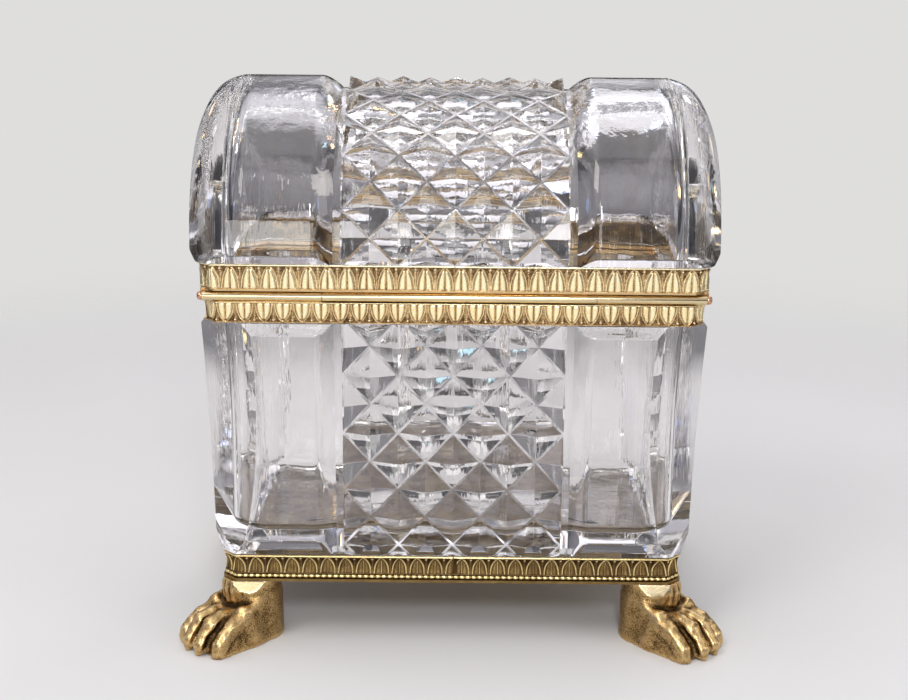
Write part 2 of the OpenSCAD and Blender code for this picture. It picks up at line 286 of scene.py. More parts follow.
# ------------------------------------------------------------------ materials
def glass_material(name, rough_lo, rough_hi, bump, wave_scale, tint=(1.0, 0.988, 0.991), ior=1.55, streak=0.0):
    m, t, b = material(name)
    co = t.n("ShaderNodeTexCoord").outputs["Object"]
    fine = t.noise(co, 900, 4, 0.6)
    smudge = t.noise(co, 38, 3, 0.55)
    r = t.n("ShaderNodeMapRange", ins={"Value": t.math("MULTIPLY", fine, smudge), "From Min": 0.16, "From Max": 0.42,
                                       "To Min": rough_lo, "To Max": rough_hi}).outputs[0]
    wave = t.noise(co, wave_scale, 2, 0.45)
    bp = t.n("ShaderNodeBump", ins={"Strength": 1.0, "Distance": bump, "Height": wave}).outputs[0]
    if streak:
        # upright draw lines left by the mould and the polishing wheel
        up = t.n("ShaderNodeVectorMath", operation="MULTIPLY", ins={0: co, 1: (1.0, 1.0, 0.07)}).outputs[0]
        bp = t.n("ShaderNodeBump", ins={"Strength": 1.0, "Distance": streak, "Height": t.noise(up, 330, 3, 0.55), "Normal": bp}).outputs[0]
    put(t, b, Base_Color=tint, Roughness=r, Normal=bp)
    b.inputs["Transmission Weight"].default_value = 1.0
    b.inputs["IOR"].default_value = ior
    return m


def gilt_material(name, stops, rough_lo, rough_hi, grain=1800, bump=0.00003, relief=True, worn=0.5, level=0.72, speck=0.0):
    """Gilt brass. With relief, the vertex attribute 'relief' (0 hollow, 1 crest) sets the patina; on the paws it also
    carries painted shade, darker where the surface faces down and lighter on top.
    """
    m, t, b = material(name)
    co = t.n("ShaderNodeTexCoord").outputs["Object"]
    big = t.noise(co, 70, 4, 0.6)
    mid = t.noise(co, 420, 4, 0.6)
    fine = t.noise(co, grain, 3, 0.6)
    if relief:
        a = t.n("ShaderNodeAttribute", attribute_name="relief", attribute_type="GEOMETRY").outputs["Fac"]
    else:
        a = t.n("ShaderNodeValue").outputs[0]
        a.default_value = level
    wob = t.math("ADD", t.math("MULTIPLY", t.math("SUBTRACT", big, 0.5), 0.55 * worn),
                 t.math("MULTIPLY", t.math("SUBTRACT", mid, 0.5), 0.75 * worn))
    wob = t.math("ADD", wob, t.math("MULTIPLY", t.math("SUBTRACT", fine, 0.5), 0.45 * worn))
    if speck:
        wob = t.math("ADD", wob, t.math("MULTIPLY", t.math("SUBTRACT", fine, 0.5), speck))
    f = t.math("ADD", a, wob, clamp=True)
    col = t.ramp(f, stops)
    r = t.n("ShaderNodeMapRange", ins={"Value": t.math("ADD", f, t.math("MULTIPLY", t.math("SUBTRACT", mid, 0.5), 0.5)),
                                       "From Min": 0.1, "From Max": 1.0, "To Min": rough_hi, "To Max": rough_lo}).outputs[0]
    bp = t.n("ShaderNodeBump", ins={"Strength": 0.6, "Distance": bump, "Height": fine}).outputs[0]
    put(t, b, Base_Color=col, Metallic=1.0, Roughness=r, Normal=bp)
    return m


GOLD = [(0.0, (0.050, 0.027, 0.014)), (0.16, (0.20, 0.117, 0.052)), (0.36, (0.54, 0.365, 0.180)), (0.62, (0.95, 0.745, 0.405)),
        (0.85, (1.0, 0.885, 0.56)), (1.0, (1.0, 0.91, 0.62))]
# the same gilt made darker for the low base band: a painted dark reflection
GOLD_PAINTED_DARK_REFLECTION = [(0.0, (0.022, 0.011, 0.007)), (0.28, (0.105, 0.060, 0.026)), (0.5, (0.27, 0.18, 0.066)), (0.72, (0.80, 0.58, 0.24)),
             (1.0, (1.0, 0.84, 0.44))]
GOLD_PLAIN = [(0.0, (0.12, 0.074, 0.040)), (0.45, (0.41, 0.285, 0.150)), (0.75, (0.68, 0.50, 0.27)), (1.0, (0.85, 0.68, 0.40))]
# the plain gilt made darker for the low pan lip: painted shade
GOLD_PAN_PAINTED_SHADE = [(0.0, (0.035, 0.020, 0.010)), (0.45, (0.17, 0.105, 0.040)), (0.75, (0.40, 0.27, 0.10)), (1.0, (0.70, 0.50, 0.22))]
GOLD_TUBE = [(0.0, (0.15, 0.102, 0.060)), (0.45, (0.46, 0.345, 0.195)), (0.75, (0.73, 0.595, 0.365)), (1.0, (0.90, 0.785, 0.53))]
GOLD_FEET = [(0.0, (0.022, 0.013, 0.007)), (0.28, (0.14, 0.084, 0.030)), (0.55, (0.53, 0.34, 0.142)), (1.0, (0.78, 0.565, 0.275))]
GOLD_LID = [(0.0, (0.055, 0.030, 0.016)), (0.16, (0.23, 0.138, 0.064)), (0.36, (0.60, 0.42, 0.215)), (0.58, (0.97, 0.78, 0.445)),
            (0.80, (1.0, 0.90, 0.59)), (1.0, (1.0, 0.925, 0.66))]

M_GLASS = glass_material("crystal_polished", 0.0, 0.018, 0.00005, 55, streak=0.000022)
M_GROOVE = glass_material("crystal_groove", 0.10, 0.24, 0.00003, 400)
M_INNER = glass_material("crystal_moulded_inside", 0.0, 0.02, 0.00036, 46, streak=0.00012)
M_LIDBAND = gilt_material("gilt_lid_band", GOLD_LID, 0.20, 0.46, grain=2600, bump=0.000016, worn=0.42, speck=0.75)
M_BODYBAND = gilt_material("gilt_body_band", GOLD, 0.20, 0.46, grain=2600, bump=0.000016, worn=0.42, speck=0.75)
M_BASEBAND = gilt_material("gilt_base_band", GOLD_PAINTED_DARK_REFLECTION, 0.22, 0.5, grain=2600, bump=0.000014, worn=0.42)
M_PLAIN = gilt_material("gilt_plain", GOLD_PLAIN, 0.16, 0.34, relief=False, worn=0.35, bump=0.00001)
M_TUBE = gilt_material("gilt_tube", GOLD_TUBE, 0.10, 0.24, relief=False, worn=0.3, bump=0.000006)
M_PAN = gilt_material("gilt_pan", GOLD_PAN_PAINTED_SHADE, 0.30, 0.50, relief=False, worn=0.5, bump=0.00002, level=0.55)
M_FILED = gilt_material("gilt_filed_flat", GOLD_TUBE, 0.16, 0.30, relief=False, worn=0.35, bump=0.00001)
M_PIN = gilt_material("pin_copper", [(0.0, (0.12, 0.05, 0.03)), (0.5, (0.50, 0.24, 0.13)), (1.0, (0.80, 0.50, 0.32))],
                      0.18, 0.4, relief=False, worn=0.6)
M_FEET = gilt_material("gilt_feet", GOLD_FEET, 0.26, 0.50, grain=3000, bump=0.00010, worn=0.55, speck=1.5)


def cement_material(name, stops, metal, rough):
    m, t, b = material(name)
    co = t.n("ShaderNodeTexCoord").outputs["Object"]
    a = t.math("ADD", t.math("MULTIPLY", t.noise(co, 260, 5, 0.65), 0.45), t.math("MULTIPLY", t.noise(co, 62, 3, 0.5), 0.55))
    c = t.ramp(a, stops)
    bp = t.n("ShaderNodeBump", ins={"Strength": 0.7, "Distance": 0.0001, "Height": t.noise(co, 900, 4, 0.6)}).outputs[0]
    put(t, b, Base_Color=c, Roughness=rough, Metallic=metal, Normal=bp)
    return m


def steel_material():
    m, t, b = material("steel")
    co = t.n("ShaderNodeTexCoord").outputs["Object"]
    a = t.noise(co, 500, 5, 0.6)
    c = t.ramp(a, [(0.3, (0.28, 0.26, 0.24)), (0.7, (0.55, 0.54, 0.52))])
    r = t.n("ShaderNodeMapRange", ins={"Value": a, "To Min": 0.25, "To Max": 0.5}).outputs[0]
    bp = t.n("ShaderNodeBump", ins={"Strength": 0.4, "Distance": 0.00002, "Height": a}).outputs[0]
    put(t, b, Base_Color=c, Roughness=r, Metallic=1.0, Normal=bp)
    return m


M_CEMENT = cement_material("pan_cement", [(0.36, (0.20, 0.14, 0.08)), (0.5, (0.42, 0.31, 0.17)), (0.66, (0.72, 0.56, 0.33))], 0.4, 0.5)
# bedding coloured bright gold so the glass shows golden patches: a painted reflection, not the cement's own colour
M_SETTING = cement_material("cement_painted_gold_reflection", [(0.40, (0.12, 0.082, 0.048)), (0.50, (0.28, 0.20, 0.11)), (0.59, (0.72, 0.53, 0.25)), (0.70, (0.98, 0.80, 0.43))], 0.75, 0.34)
M_STEEL = steel_material()


# ------------------------------------------------------------------ diamond-cut pads
def diamond_pad(name, vs, point, par, back, groove=0.36, ridge=0.012, mats=()):
    """Closed pad of pyramids. point(x, v, d) maps width, row value and depth to mm."""
    nx = 8
    verts, keys, faces, index = [], {}, [], []
    dia_area = DHW * DHH
    delta = groove / (dia_area / math.hypot(DHW, DHH))
    flat_d = CUT - 0.12

    def vid(p, q):
        k = (round(p[0], 4), round(p[1], 4), round(p[2], 4))
        if k not in keys:
            keys[k] = len(verts)
            verts.append((tuple(p), q))
        return keys[k]

    def xv(i, j):
        return np.array([(i - nx / 2) * DHW, vs[j]])

    def P(q, d):
        return np.array(point(q[0], q[1], d))

    apex_pts, ridge_pts, flat_tris = {}, {}, {}
    for j in range(len(vs) - 1):
        for i in range(nx):
            corners = [(i, j), (i + 1, j), (i + 1, j + 1), (i, j + 1)]
            even = [(c + r + par) % 2 == 0 for c, r in corners]
            k = 0 if even[0] else 1
            a, b, c, d = corners[k], corners[(k + 1) % 4], corners[(k + 2) % 4], corners[(k + 3) % 4]
            # a, c on the groove; b, d are apexes; a b c d runs anticlockwise
            qa, qc = xv(*a), xv(*c)
            hexa = [(P(qa, flat_d), qa)]
            for side, ap in ((0, b), (1, d)):
                qb = xv(*ap)
                qpa, qpc = qa + (qb - qa) * delta, qc + (qb - qc) * delta
                B, PA, PC = P(qb, 0.05), P(qpa, flat_d), P(qpc, flat_d)
                B1 = B * (1 - 2 * ridge) + (PA + PC) * ridge
                qB1 = qb * (1 - 2 * ridge) + (qpa + qpc) * ridge
                PA1, qPA1 = PA + (PC - PA) * ridge, qpa + (qpc - qpa) * ridge
                PC1, qPC1 = PC + (PA - PC) * ridge, qpc + (qpa - qpc) * ridge
                ib, ia, ic = vid(B1, qB1), vid(PA1, qPA1), vid(PC1, qPC1)
                ipa, ipc = vid(PA, qpa), vid(PC, qpc)
                ibb = vid(B, qb) if False else None
                # facet: a-side, b, c-side, anticlockwise when side 0
                faces.append([ia, ib, ic] if side == 0 else [ic, ib, ia])
                index.append(0)
                apex_pts.setdefault(ap, []).append((i + 0.5, j + 0.5, ib, (B, qb)))
                for gv, ig, ip in ((a, ia, ipa), (c, ic, ipc)):
                    ridge_pts.setdefault((ap, gv), []).append((i + 0.5, j + 0.5, ib, ig, ip, (B, qb)))
                strip = [ipa, ia, ic, ipc]
                if side == 0:
                    low = strip
                else:
                    high = strip[::-1]
            iga, igc = vid(P(qa, flat_d), qa), vid(P(qc, flat_d), qc)
            faces.append([iga, *low, igc, *high])
            index.append(1)
    # ridge flats between neighbouring facets
    for (ap, gv), parts in ridge_pts.items():
        e = np.array(gv, float) - np.array(ap, float)
        if len(parts) == 2:
            (x0, y0, b0, g0, p0, _), (x1, y1, b1, g1, p1, _) = parts
            # part 0 on the left of ap->gv?
            side0 = e[0] * (y0 - ap[1]) - e[1] * (x0 - ap[0])
            if side0 < 0:
                b0, g0, b1, g1 = b1, g1, b0, g0
            faces.append([b1, g1, g0, b0])
            index.append(0)
            faces.append([p0, g0, g1])
            index.append(1)
        else:
            x0, y0, b0, g0, p0, (B, qb) = parts[0]
            ib = vid(B, qb)
            side0 = e[0] * (y0 - ap[1]) - e[1] * (x0 - ap[0])
            faces.append([ib, p0, g0, b0] if side0 > 0 else [b0, g0, p0, ib])
            index.append(0)
    for ap, parts in apex_pts.items():
        if len(parts) < 2:
            continue
        ang = sorted((math.atan2(y - ap[1], x - ap[0]), b) for x, y, b, _ in parts)
        ring = [b for _, b in ang]
        if len(parts) < 4:
            B, qb = parts[0][3]
            ib = vid(B, qb)
            best = None
            # the apex itself closes the fan on the pad's border
            angs = [a for a, _ in ang]
            gap = [(angs[(k + 1) % len(angs)] - angs[k]) % (2 * math.pi) for k in range(len(angs))]
            k = int(np.argmax(gap))
            ring = ring[k + 1:] + ring[:k + 1] + [ib]
        faces.append(ring)
        index.append(0)
    # winding: (x, v) anticlockwise seen from outside
    pts = np.array([v[0] for v in verts])
    q = [v[1] for v in verts]
    n = len(pts)
    back_pts = np.array([point(a[0], a[1], back) for a in q])
    used = {}
    for f in faces:
        for k in range(len(f)):
            e = (f[k], f[(k + 1) % len(f)])
            used[e] = used.get(e, 0) + 1
    walls = [(a, b) for (a, b) in used if (b, a) not in used]
    all_faces = [list(f) for f in faces]
    all_index = list(index)
    for f in faces:
        all_faces.append([n + v for v in f[::-1]])
        all_index.append(0)
    for a, b in walls:
        all_faces.append([b, a, n + a, n + b])
        all_index.append(0)
    return make(name, np.vstack([pts, back_pts]), all_faces, mats, all_index)


GLASS_MATS = (M_GLASS, M_GROOVE, M_INNER)


# ------------------------------------------------------------------ body glass
def env_half(z):
    zs = [Z_SOLE, Z_FOOT, Z_SHOU, Z_RIM]
    return (np.interp(z, zs, [64.6, HW - TAPER, HW, HW - 2.5]), np.interp(z, zs, [38.25, HD - TAPER, HD, HD - 2.5]))


def face_y(z):
    return HD - (Z_SHOU - z) * TAPER / (Z_SHOU - Z_FOOT)


def hollow_leg(z, hx, hy):
    r = 271.0
    x = -15.6 / math.sqrt(2) + r - math.sqrt(r * r - (z - 62) ** 2)
    return hx + hy - ((HW - 1.2) + (HD - 1.2) + math.sqrt(2) * x)


FLUTE_T = np.linspace(0, 1, 12)


def flute_x(t):
    return 38.0 - t * (38.0 - 32.4)


def ring(hx, hy, leg, z, fillet=0.35, flute=None, arc=None):
    """One closed plan outline, the same number of points at every level."""
    legs = max(leg, 0.6)
    corner = [(-(hx - legs), -hy), (hx - legs, -hy), (hx, -(hy - legs)), (hx, hy - legs),
              (hx - legs, hy), (-(hx - legs), hy), (-hx, hy - legs), (-hx, -(hy - legs))]
    pts = []
    for k, c in enumerate(corner):
        p, nx_ = np.array(corner[k - 1]), np.array(corner[(k + 1) % 8])
        c = np.array(c)
        u, v = (p - c), (nx_ - c)
        lu, lv = np.linalg.norm(u), np.linalg.norm(v)
        u, v = u / lu, v / lv
        ang = math.acos(np.clip(u @ v, -1, 1))
        tlen = min(fillet / math.tan(ang / 2), 0.4 * lu, 0.4 * lv)
        r = tlen * math.tan(ang / 2)
        centre = c + (u + v) / np.linalg.norm(u + v) * (r / math.sin(ang / 2))
        a0, a1 = c + u * tlen - centre, c + v * tlen - centre
        t0, t1 = math.atan2(a0[1], a0[0]), math.atan2(a1[1], a1[0])
        dt = (t1 - t0 + math.pi) % (2 * math.pi) - math.pi
        arcpts = [centre + r * np.array([math.cos(t0 + dt * s), math.sin(t0 + dt * s)]) for s in np.linspace(0, 1, 4)]
        pts += [tuple(q) for q in arcpts]
        if k in (0, 4):  # flute samples run along the long faces
            sgn = -1 if k == 0 else 1
            left = [(-flute_x(t), t) for t in FLUTE_T]
            row = left + [(-x, t) for x, t in left[::-1]]
            for x, t in row:
                y = hy
                if flute is not None:
                    y = min(hy, flute - 3.3 * t ** 1.7)
                pts.append((x * (-sgn), sgn * y))
    pts = [(x, y, z) for x, y in pts]
    return np.array(pts)


def inner_ring(a, b, r, z):
    """Cavity outline with the same point order as ring()."""
    cs = [(-(a - r), -(b - r)), (a - r, -(b - r)), (a - r, b - r), (-(a - r), b - r)]
    pts = []

    def arc(c, t0, t1, n):
        return [(c[0] + r * math.cos(t), c[1] + r * math.sin(t)) for t in np.linspace(t0, t1, n)]

    d = math.pi / 180
    full = [arc(cs[0], 180 * d, 270 * d, 8), arc(cs[1], 270 * d, 360 * d, 8), arc(cs[2], 0, 90 * d, 8), arc(cs[3], 90 * d, 180 * d, 8)]
    pts += full[0][4:]
    lx = np.array([-flute_x(t) for t in FLUTE_T])
    row = list(lx) + list(-lx[::-1])
    pts += [(x, -b) for x in row]
    pts += full[1][:4] + full[1][4:] + full[2][:4] + full[2][4:]
    pts += [(-x, b) for x in row]
    pts += full[3][:4] + full[3][4:] + full[0][:4]
    return np.array([(x, y, z) for x, y in pts])


def build_body_glass():
    rings, tags = [], []

    def add(r, tag=0):
        rings.append(r)
        tags.append(tag)

    g = 0.08
    # lower neck
    for z, inset in ((22.68, 0.5), (22.74, 0.22), (22.9, 0.06), (23.1, 0.0), (25.98, 0.0)):
        add(ring(60.9 - g - inset, 34.6 - g - inset, 8 - inset * 0.586, z, 0.6))
    # shelf, lower chamfer, walls, upper chamfer, shelf
    for z, inset in ((26.0, 0.9), (26.0, 0.32), (26.03, 0.12), (26.12, 0.0)):
        hx, hy = env_half(z)
        add(ring(hx - inset, hy - inset, hollow_leg(z, hx, hy), z, 0.3, face_y(z)))
    for z in (27.0, 28.0, 29.0, 30.0, 30.8):
        hx, hy = env_half(z)
        add(ring(hx, hy, hollow_leg(z, hx, hy), z, 0.3, face_y(z)))
    for z, inset in ((31.02, 0.05), (31.25, 0.03)):
        hx, hy = env_half(z)
        add(ring(hx - inset, hy - inset, hollow_leg(z, hx, hy) - 2 * inset, z, 0.3, face_y(z) - inset * 0.0))
    for z in list(np.linspace(31.5, 90.2, 26)):
        hx, hy = env_half(z)
        add(ring(hx, hy, hollow_leg(z, hx, hy), z, 0.3, face_y(z)))
    for z, inset in ((90.5, 0.04), (90.75, 0.06)):
        hx, hy = env_half(z)
        add(ring(hx - inset, hy - inset, hollow_leg(z, hx, hy) - 2 * inset, z, 0.3, face_y(z)))
    for z in (91.0, 91.6, 92.2, 92.8, 93.1):
        hx, hy = env_half(z)
        add(ring(hx, hy, hollow_leg(z, hx, hy), z, 0.3, face_y(z)))
    for z, inset in ((93.27, 0.0), (93.34, 0.12), (93.36, 0.35)):
        hx, hy = env_half(z)
        add(ring(hx - inset, hy - inset, hollow_leg(z, hx, hy), z, 0.3, face_y(z) - inset))
    add(ring(64.6 - g + 0.2, 38.3 - g + 0.2, 12, 93.36, 0.8))
    for z, inset in ((93.5, 0.05), (94.0, 0.0), (98.3, 0.0), (98.6, 0.06), (98.76, 0.25), (98.82, 0.6)):
        add(ring(64.6 - g - inset, 38.3 - g - inset, 12 - inset * 0.586, z, 0.8))
    # cavity, drafted and rounded at the floor
    for z, inset in ((98.82, -0.5), (98.74, -0.2), (98.5, 0.0)):
        add(inner_ring(60.3 - inset, 34.0 - inset, 6 - inset, z), 2)
    for z in np.linspace(96, 37.5, 14):
        k = (98.5 - z) / 61.0 * 0.7
        add(inner_ring(60.3 - k, 34.0 - k, 6 - k * 0.3, z), 2)
    for a in np.linspace(10, 90, 9):
        rr = 4.2
        k = 0.7 + rr * (1 - math.cos(math.radians(a)))
        z = 32.0 + rr * (1 - math.sin(math.radians(a)))
        add(inner_ring(60.3 - k, 34.0 - k, 5.6, z), 2)
    add(inner_ring(48, 24, 5.6, 31.9), 2)
    add(inner_ring(24, 12, 5.6, 31.82), 2)
    pts = np.array(rings)
    n, m = pts.shape[:2]
    verts = pts.reshape(-1, 3)
    faces, index = [], []
    for i in range(n - 1):
        tag = 2 if tags[i] == 2 or tags[i + 1] == 2 else 0
        for j in range(m):
            a, b = i * m + j, i * m + (j + 1) % m
            faces.append([a, b, b + m, a + m])
            index.append(tag)
    faces.append(list(range(m))[::-1])
    index.append(0)
    faces.append([(n - 1) * m + j for j in range(m)])
    index.append(2)
    body = make("body_glass_cut", verts, faces, GLASS_MATS, index)
    vs = [29.5 + DHH * j for j in range(-1, 9)]
    for s in (0, 1):
        def point(x, v, d, s=s):
            y = -(face_y(v) - d)
            return (x, y, v) if s == 0 else (-x, -y, v)
        pad = diamond_pad(f"pad{s}", vs, point, 1, 4.4, mats=GLASS_MATS)
        sg = 1 if s == 0 else -1
        prof = [(-38.22, 26.03), (-40.95, 31.1), (-43.86, 90.6), (-41.38, 93.34), (0, 93.34), (0, 26.03)]
        tv = [(-32 * sg, y * sg, z) for y, z in prof] + [(32 * sg, y * sg, z) for y, z in prof]
        k = len(prof)
        tf = [list(range(k)), list(range(2 * k - 1, k - 1, -1))] + [[(i + 1) % k, i, k + i, k + (i + 1) % k] for i in range(k)]
        trim = make("trim", tv, tf, GLASS_MATS, smooth=False)
        fix_normals(trim)
        fix_normals(pad)
        boolean(pad, trim, "INTERSECT")
        boolean(body, pad, "UNION")
    return body


def fix_normals(obj):
    bm = bmesh.new()
    bm.from_mesh(obj.data)
    bmesh.ops.recalc_face_normals(bm, faces=bm.faces)
    bm.to_mesh(obj.data)
    bm.free()


# ------------------------------------------------------------------ lid glass
def lathe_x(name, prof, segs, mats):
    """Closed turn of (x, r) pairs about the springing line."""
    th = np.linspace(0, 2 * math.pi, segs, endpoint=False)
    pts = []
    for x, r in prof:
        pts.append([(x, r * math.sin(a), Z_SPR + r * math.cos(a)) for a in th])
    pts = np.array(pts)
    n, m = pts.shape[:2]
    faces = [[i * m + j, (i + 1) * m + j, (i + 1) * m + (j + 1) % m, i * m + (j + 1) % m] for i in range(n - 1) for j in range(m)]
    faces.append(list(range(m)))
    faces.append([(n - 1) * m + j for j in range(m)][::-1])
    o = make(name, pts.reshape(-1, 3), faces, mats)
    fix_normals(o)
    return o


def stack(name, rings, mats, index=0):
    pts = np.array(rings)
    n, m = pts.shape[:2]
    faces = [[i * m + j, i * m + (j + 1) % m, (i + 1) * m + (j + 1) % m, (i + 1) * m + j] for i in range(n - 1) for j in range(m)]
    faces.append(list(range(m))[::-1])
    faces.append([(n - 1) * m + j for j in range(m)])
    o = make(name, pts.reshape(-1, 3), faces, mats, [index] * len(faces))
    fix_normals(o)
    return o


def build_lid_glass():
    half = [(0.0, LR)]
    prof = []
    t = np.linspace(0, 1, 14)
    bed = LR - 3.4
    sh = [(32.4 + (38.4 - 32.4) * (1 - a), LR - 3.4 * a ** 1.7) for a in t]  # pillow shoulder, outer to inner
    # rounded barrel end: a soft quarter curve from the crown down to the flat end
    e = [(60.1, 45.3), (60.3, 45.28), (60.5, 45.23), (61.6, 44.95), (62.8, 44.62), (63.9, 44.2), (65.0, 43.65), (66.1, 42.95), (67.1, 42.1), (68.0, 41.1),
         (68.8, 40.0), (69.5, 38.85), (70.1, 37.7), (70.65, 36.55), (71.1, 35.5), (71.42, 34.7), (71.6, 34.1), (71.65, 33.6)]
    right = [(0.0, bed)] + sh[::-1] + e
    prof = [(-x, r) for x, r in right[::-1][:-1]] + right
    outer = lathe_x("lid_glass_cut", prof, 288, GLASS_MATS)
    rings = []
    for z, inset in ((109.75, 2.66), (109.79, 2.48), (109.93, 2.28), (111.9, 0.36), (112.1, 0.18), (112.35, 0.06), (112.7, 0.0), (172.0, 0.0)):
        rings.append(ring(LHW - inset, LR + 0.02 - inset, 0.9, z, 0.5)[:, :3])
    env = stack("env", rings, GLASS_MATS)
    boolean(outer, env, "INTERSECT")
    g = 0.08
    rings = [ring(65.6 - g - i, 39.25 - g - i, 6 - i * 0.586, z, 0.8) for z, i in
             ((102.38, 0.6), (102.44, 0.25), (102.6, 0.06), (102.9, 0.0), (112.6, 0.0))]
    neck = stack("neck", rings, GLASS_MATS)
    boolean(outer, neck, "UNION")
    # cavity: half round vault with eased ends and rim
    secs = []
    xs = []
    rr = 4.5
    for a in np.linspace(90, 0, 8):
        xs.append((-(61.3 - rr) - rr * math.cos(math.radians(90 - a)) if False else -(61.3 - rr + rr * math.sin(math.radians(a))), rr * (1 - math.cos(math.radians(a)))))
    left = [(x, e_) for x, e_ in xs]
    allx = left + [(-x, e_) for x, e_ in left[::-1]]
    for x, ins in allx:
        w = 35.0 - ins
        pts = [(x, -w - 0.0, 98.0), (x, -w, 104.0), (x, -w, 108.0), (x, -w, Z_SPR)]
        pts += [(x, -w * math.cos(b), Z_SPR + w * math.sin(b)) for b in np.linspace(0, math.pi, 97)[1:-1]]
        pts += [(x, w, Z_SPR), (x, w, 108.0), (x, w, 104.0), (x, w, 98.0)]
        secs.append(pts)
    cav = stack("cav", secs, GLASS_MATS, 2)
    boolean(outer, cav, "DIFFERENCE")
    vs = [90 + DANG * (j - 9) for j in range(19)]

    def point(x, v, d):
        a = math.radians(v)
        return (x, -(LR - d) * math.cos(a), Z_SPR + (LR - d) * math.sin(a))
    pad = diamond_pad("pad", vs, point, 0, 4.4, mats=GLASS_MATS)
    fix_normals(pad)
    trim = stack("trim", [[(x, y, z) for x, y in ((-32, -45.4), (32, -45.4), (32, 45.4), (-32, 45.4))] for z in (109.76, 170.0)], GLASS_MATS)
    env2 = stack("env2", [ring(LHW - i, LR + 0.02 - i, 0.9, z, 0.5) for z, i in ((109.76, 2.3), (112.06, 0.0), (172.0, 0.0))], GLASS_MATS)
    boolean(pad, trim, "INTERSECT")
    boolean(pad, env2, "INTERSECT")
    boolean(outer, pad, "UNION")
    return outer


# ------------------------------------------------------------------ leaf strips
K = 2 - math.sqrt(2)


def leaf(U, v, style):
    """Relief height 0..1 of the leaf frieze. U counts leaves along the strip, v runs foot to tip."""
    u = U - np.round(U)
    a = np.abs(u)
    w = np.interp(v, [0, 0.2, 0.36, 0.5, 0.61, 0.75, 0.87, 0.95, 1.0],
                  [0.43, 0.42, 0.40, 0.37, 0.33, 0.265, 0.185, 0.11, 0.0] if style == "lobed" else
                  [0.40, 0.39, 0.37, 0.34, 0.30, 0.24, 0.165, 0.10, 0.0])
    rid = np.exp(-((a - w) / (0.034 if style == "lobed" else 0.047)) ** 2)
    inner = np.clip(w - (0.066 if style == "lobed" else 0.05), 0.0, 1)
    c = np.maximum(inner / 2, 1e-3)
    q = np.clip(np.abs((a - c) / c), 0, 1)
    lob = np.sqrt(np.clip(1 - q ** 2, 0, 1)) * (a < inner)
    tip = np.clip((0.93 - v) / 0.10, 0, 1)
    foot = np.clip((v + 0.02) / 0.06, 0, 1)
    if style == "lobed":
        asym = 1.0 + 0.06 * np.sign(u)
        dish = np.sqrt(np.clip(1 - q ** 3, 0, 1)) * (0.82 + 0.18 * q ** 2) * (a < inner)
        dish = dish * (1 - 0.85 * np.exp(-(a / 0.030) ** 2))
        h = np.maximum(dish * tip * (0.84 + 0.16 * np.sin(np.pi * np.clip(v, 0, 1))) * asym * 0.95, 0.66 * rid)
    else:
        vein = np.exp(-(a / 0.028) ** 2) * np.clip((0.9 - v) / 0.1, 0, 1)
        side = np.exp(-((a - 0.55 * inner) / 0.022) ** 2) * np.clip((0.74 - v) / 0.1, 0, 1)
        h = np.maximum(0.36 * lob * tip, 0.98 * rid)
        h = np.maximum(h, np.maximum(0.66 * vein, 0.50 * side))
    # dart between the leaves: a thin stem with beads
    g = 0.5 - a
    stem = np.exp(-(g / 0.030) ** 2) * np.clip((0.80 - v) / 0.08, 0, 1) * 0.42
    bead = np.zeros_like(h)
    for vb, rv, ru, hh in ((0.915, 0.055, 0.085, 0.9), (0.80, 0.040, 0.055, 0.62), (0.70, 0.034, 0.045, 0.5), (0.60, 0.03, 0.038, 0.42)):
        bead = np.maximum(bead, hh * np.sqrt(np.clip(1 - ((v - vb) / rv) ** 2 - (g / ru) ** 2, 0, 1)))
    # thin side veins that fan from the stem
    fan = 0.30 * np.exp(-(np.abs(g - 0.055 - 0.05 * np.clip(v - 0.3, 0, 1)) / 0.018) ** 2) * np.clip((v - 0.15) / 0.1, 0, 1) * np.clip((0.85 - v) / 0.1, 0, 1)
    h = np.maximum(h, np.maximum(stem, np.maximum(bead, fan)))
    return h * foot


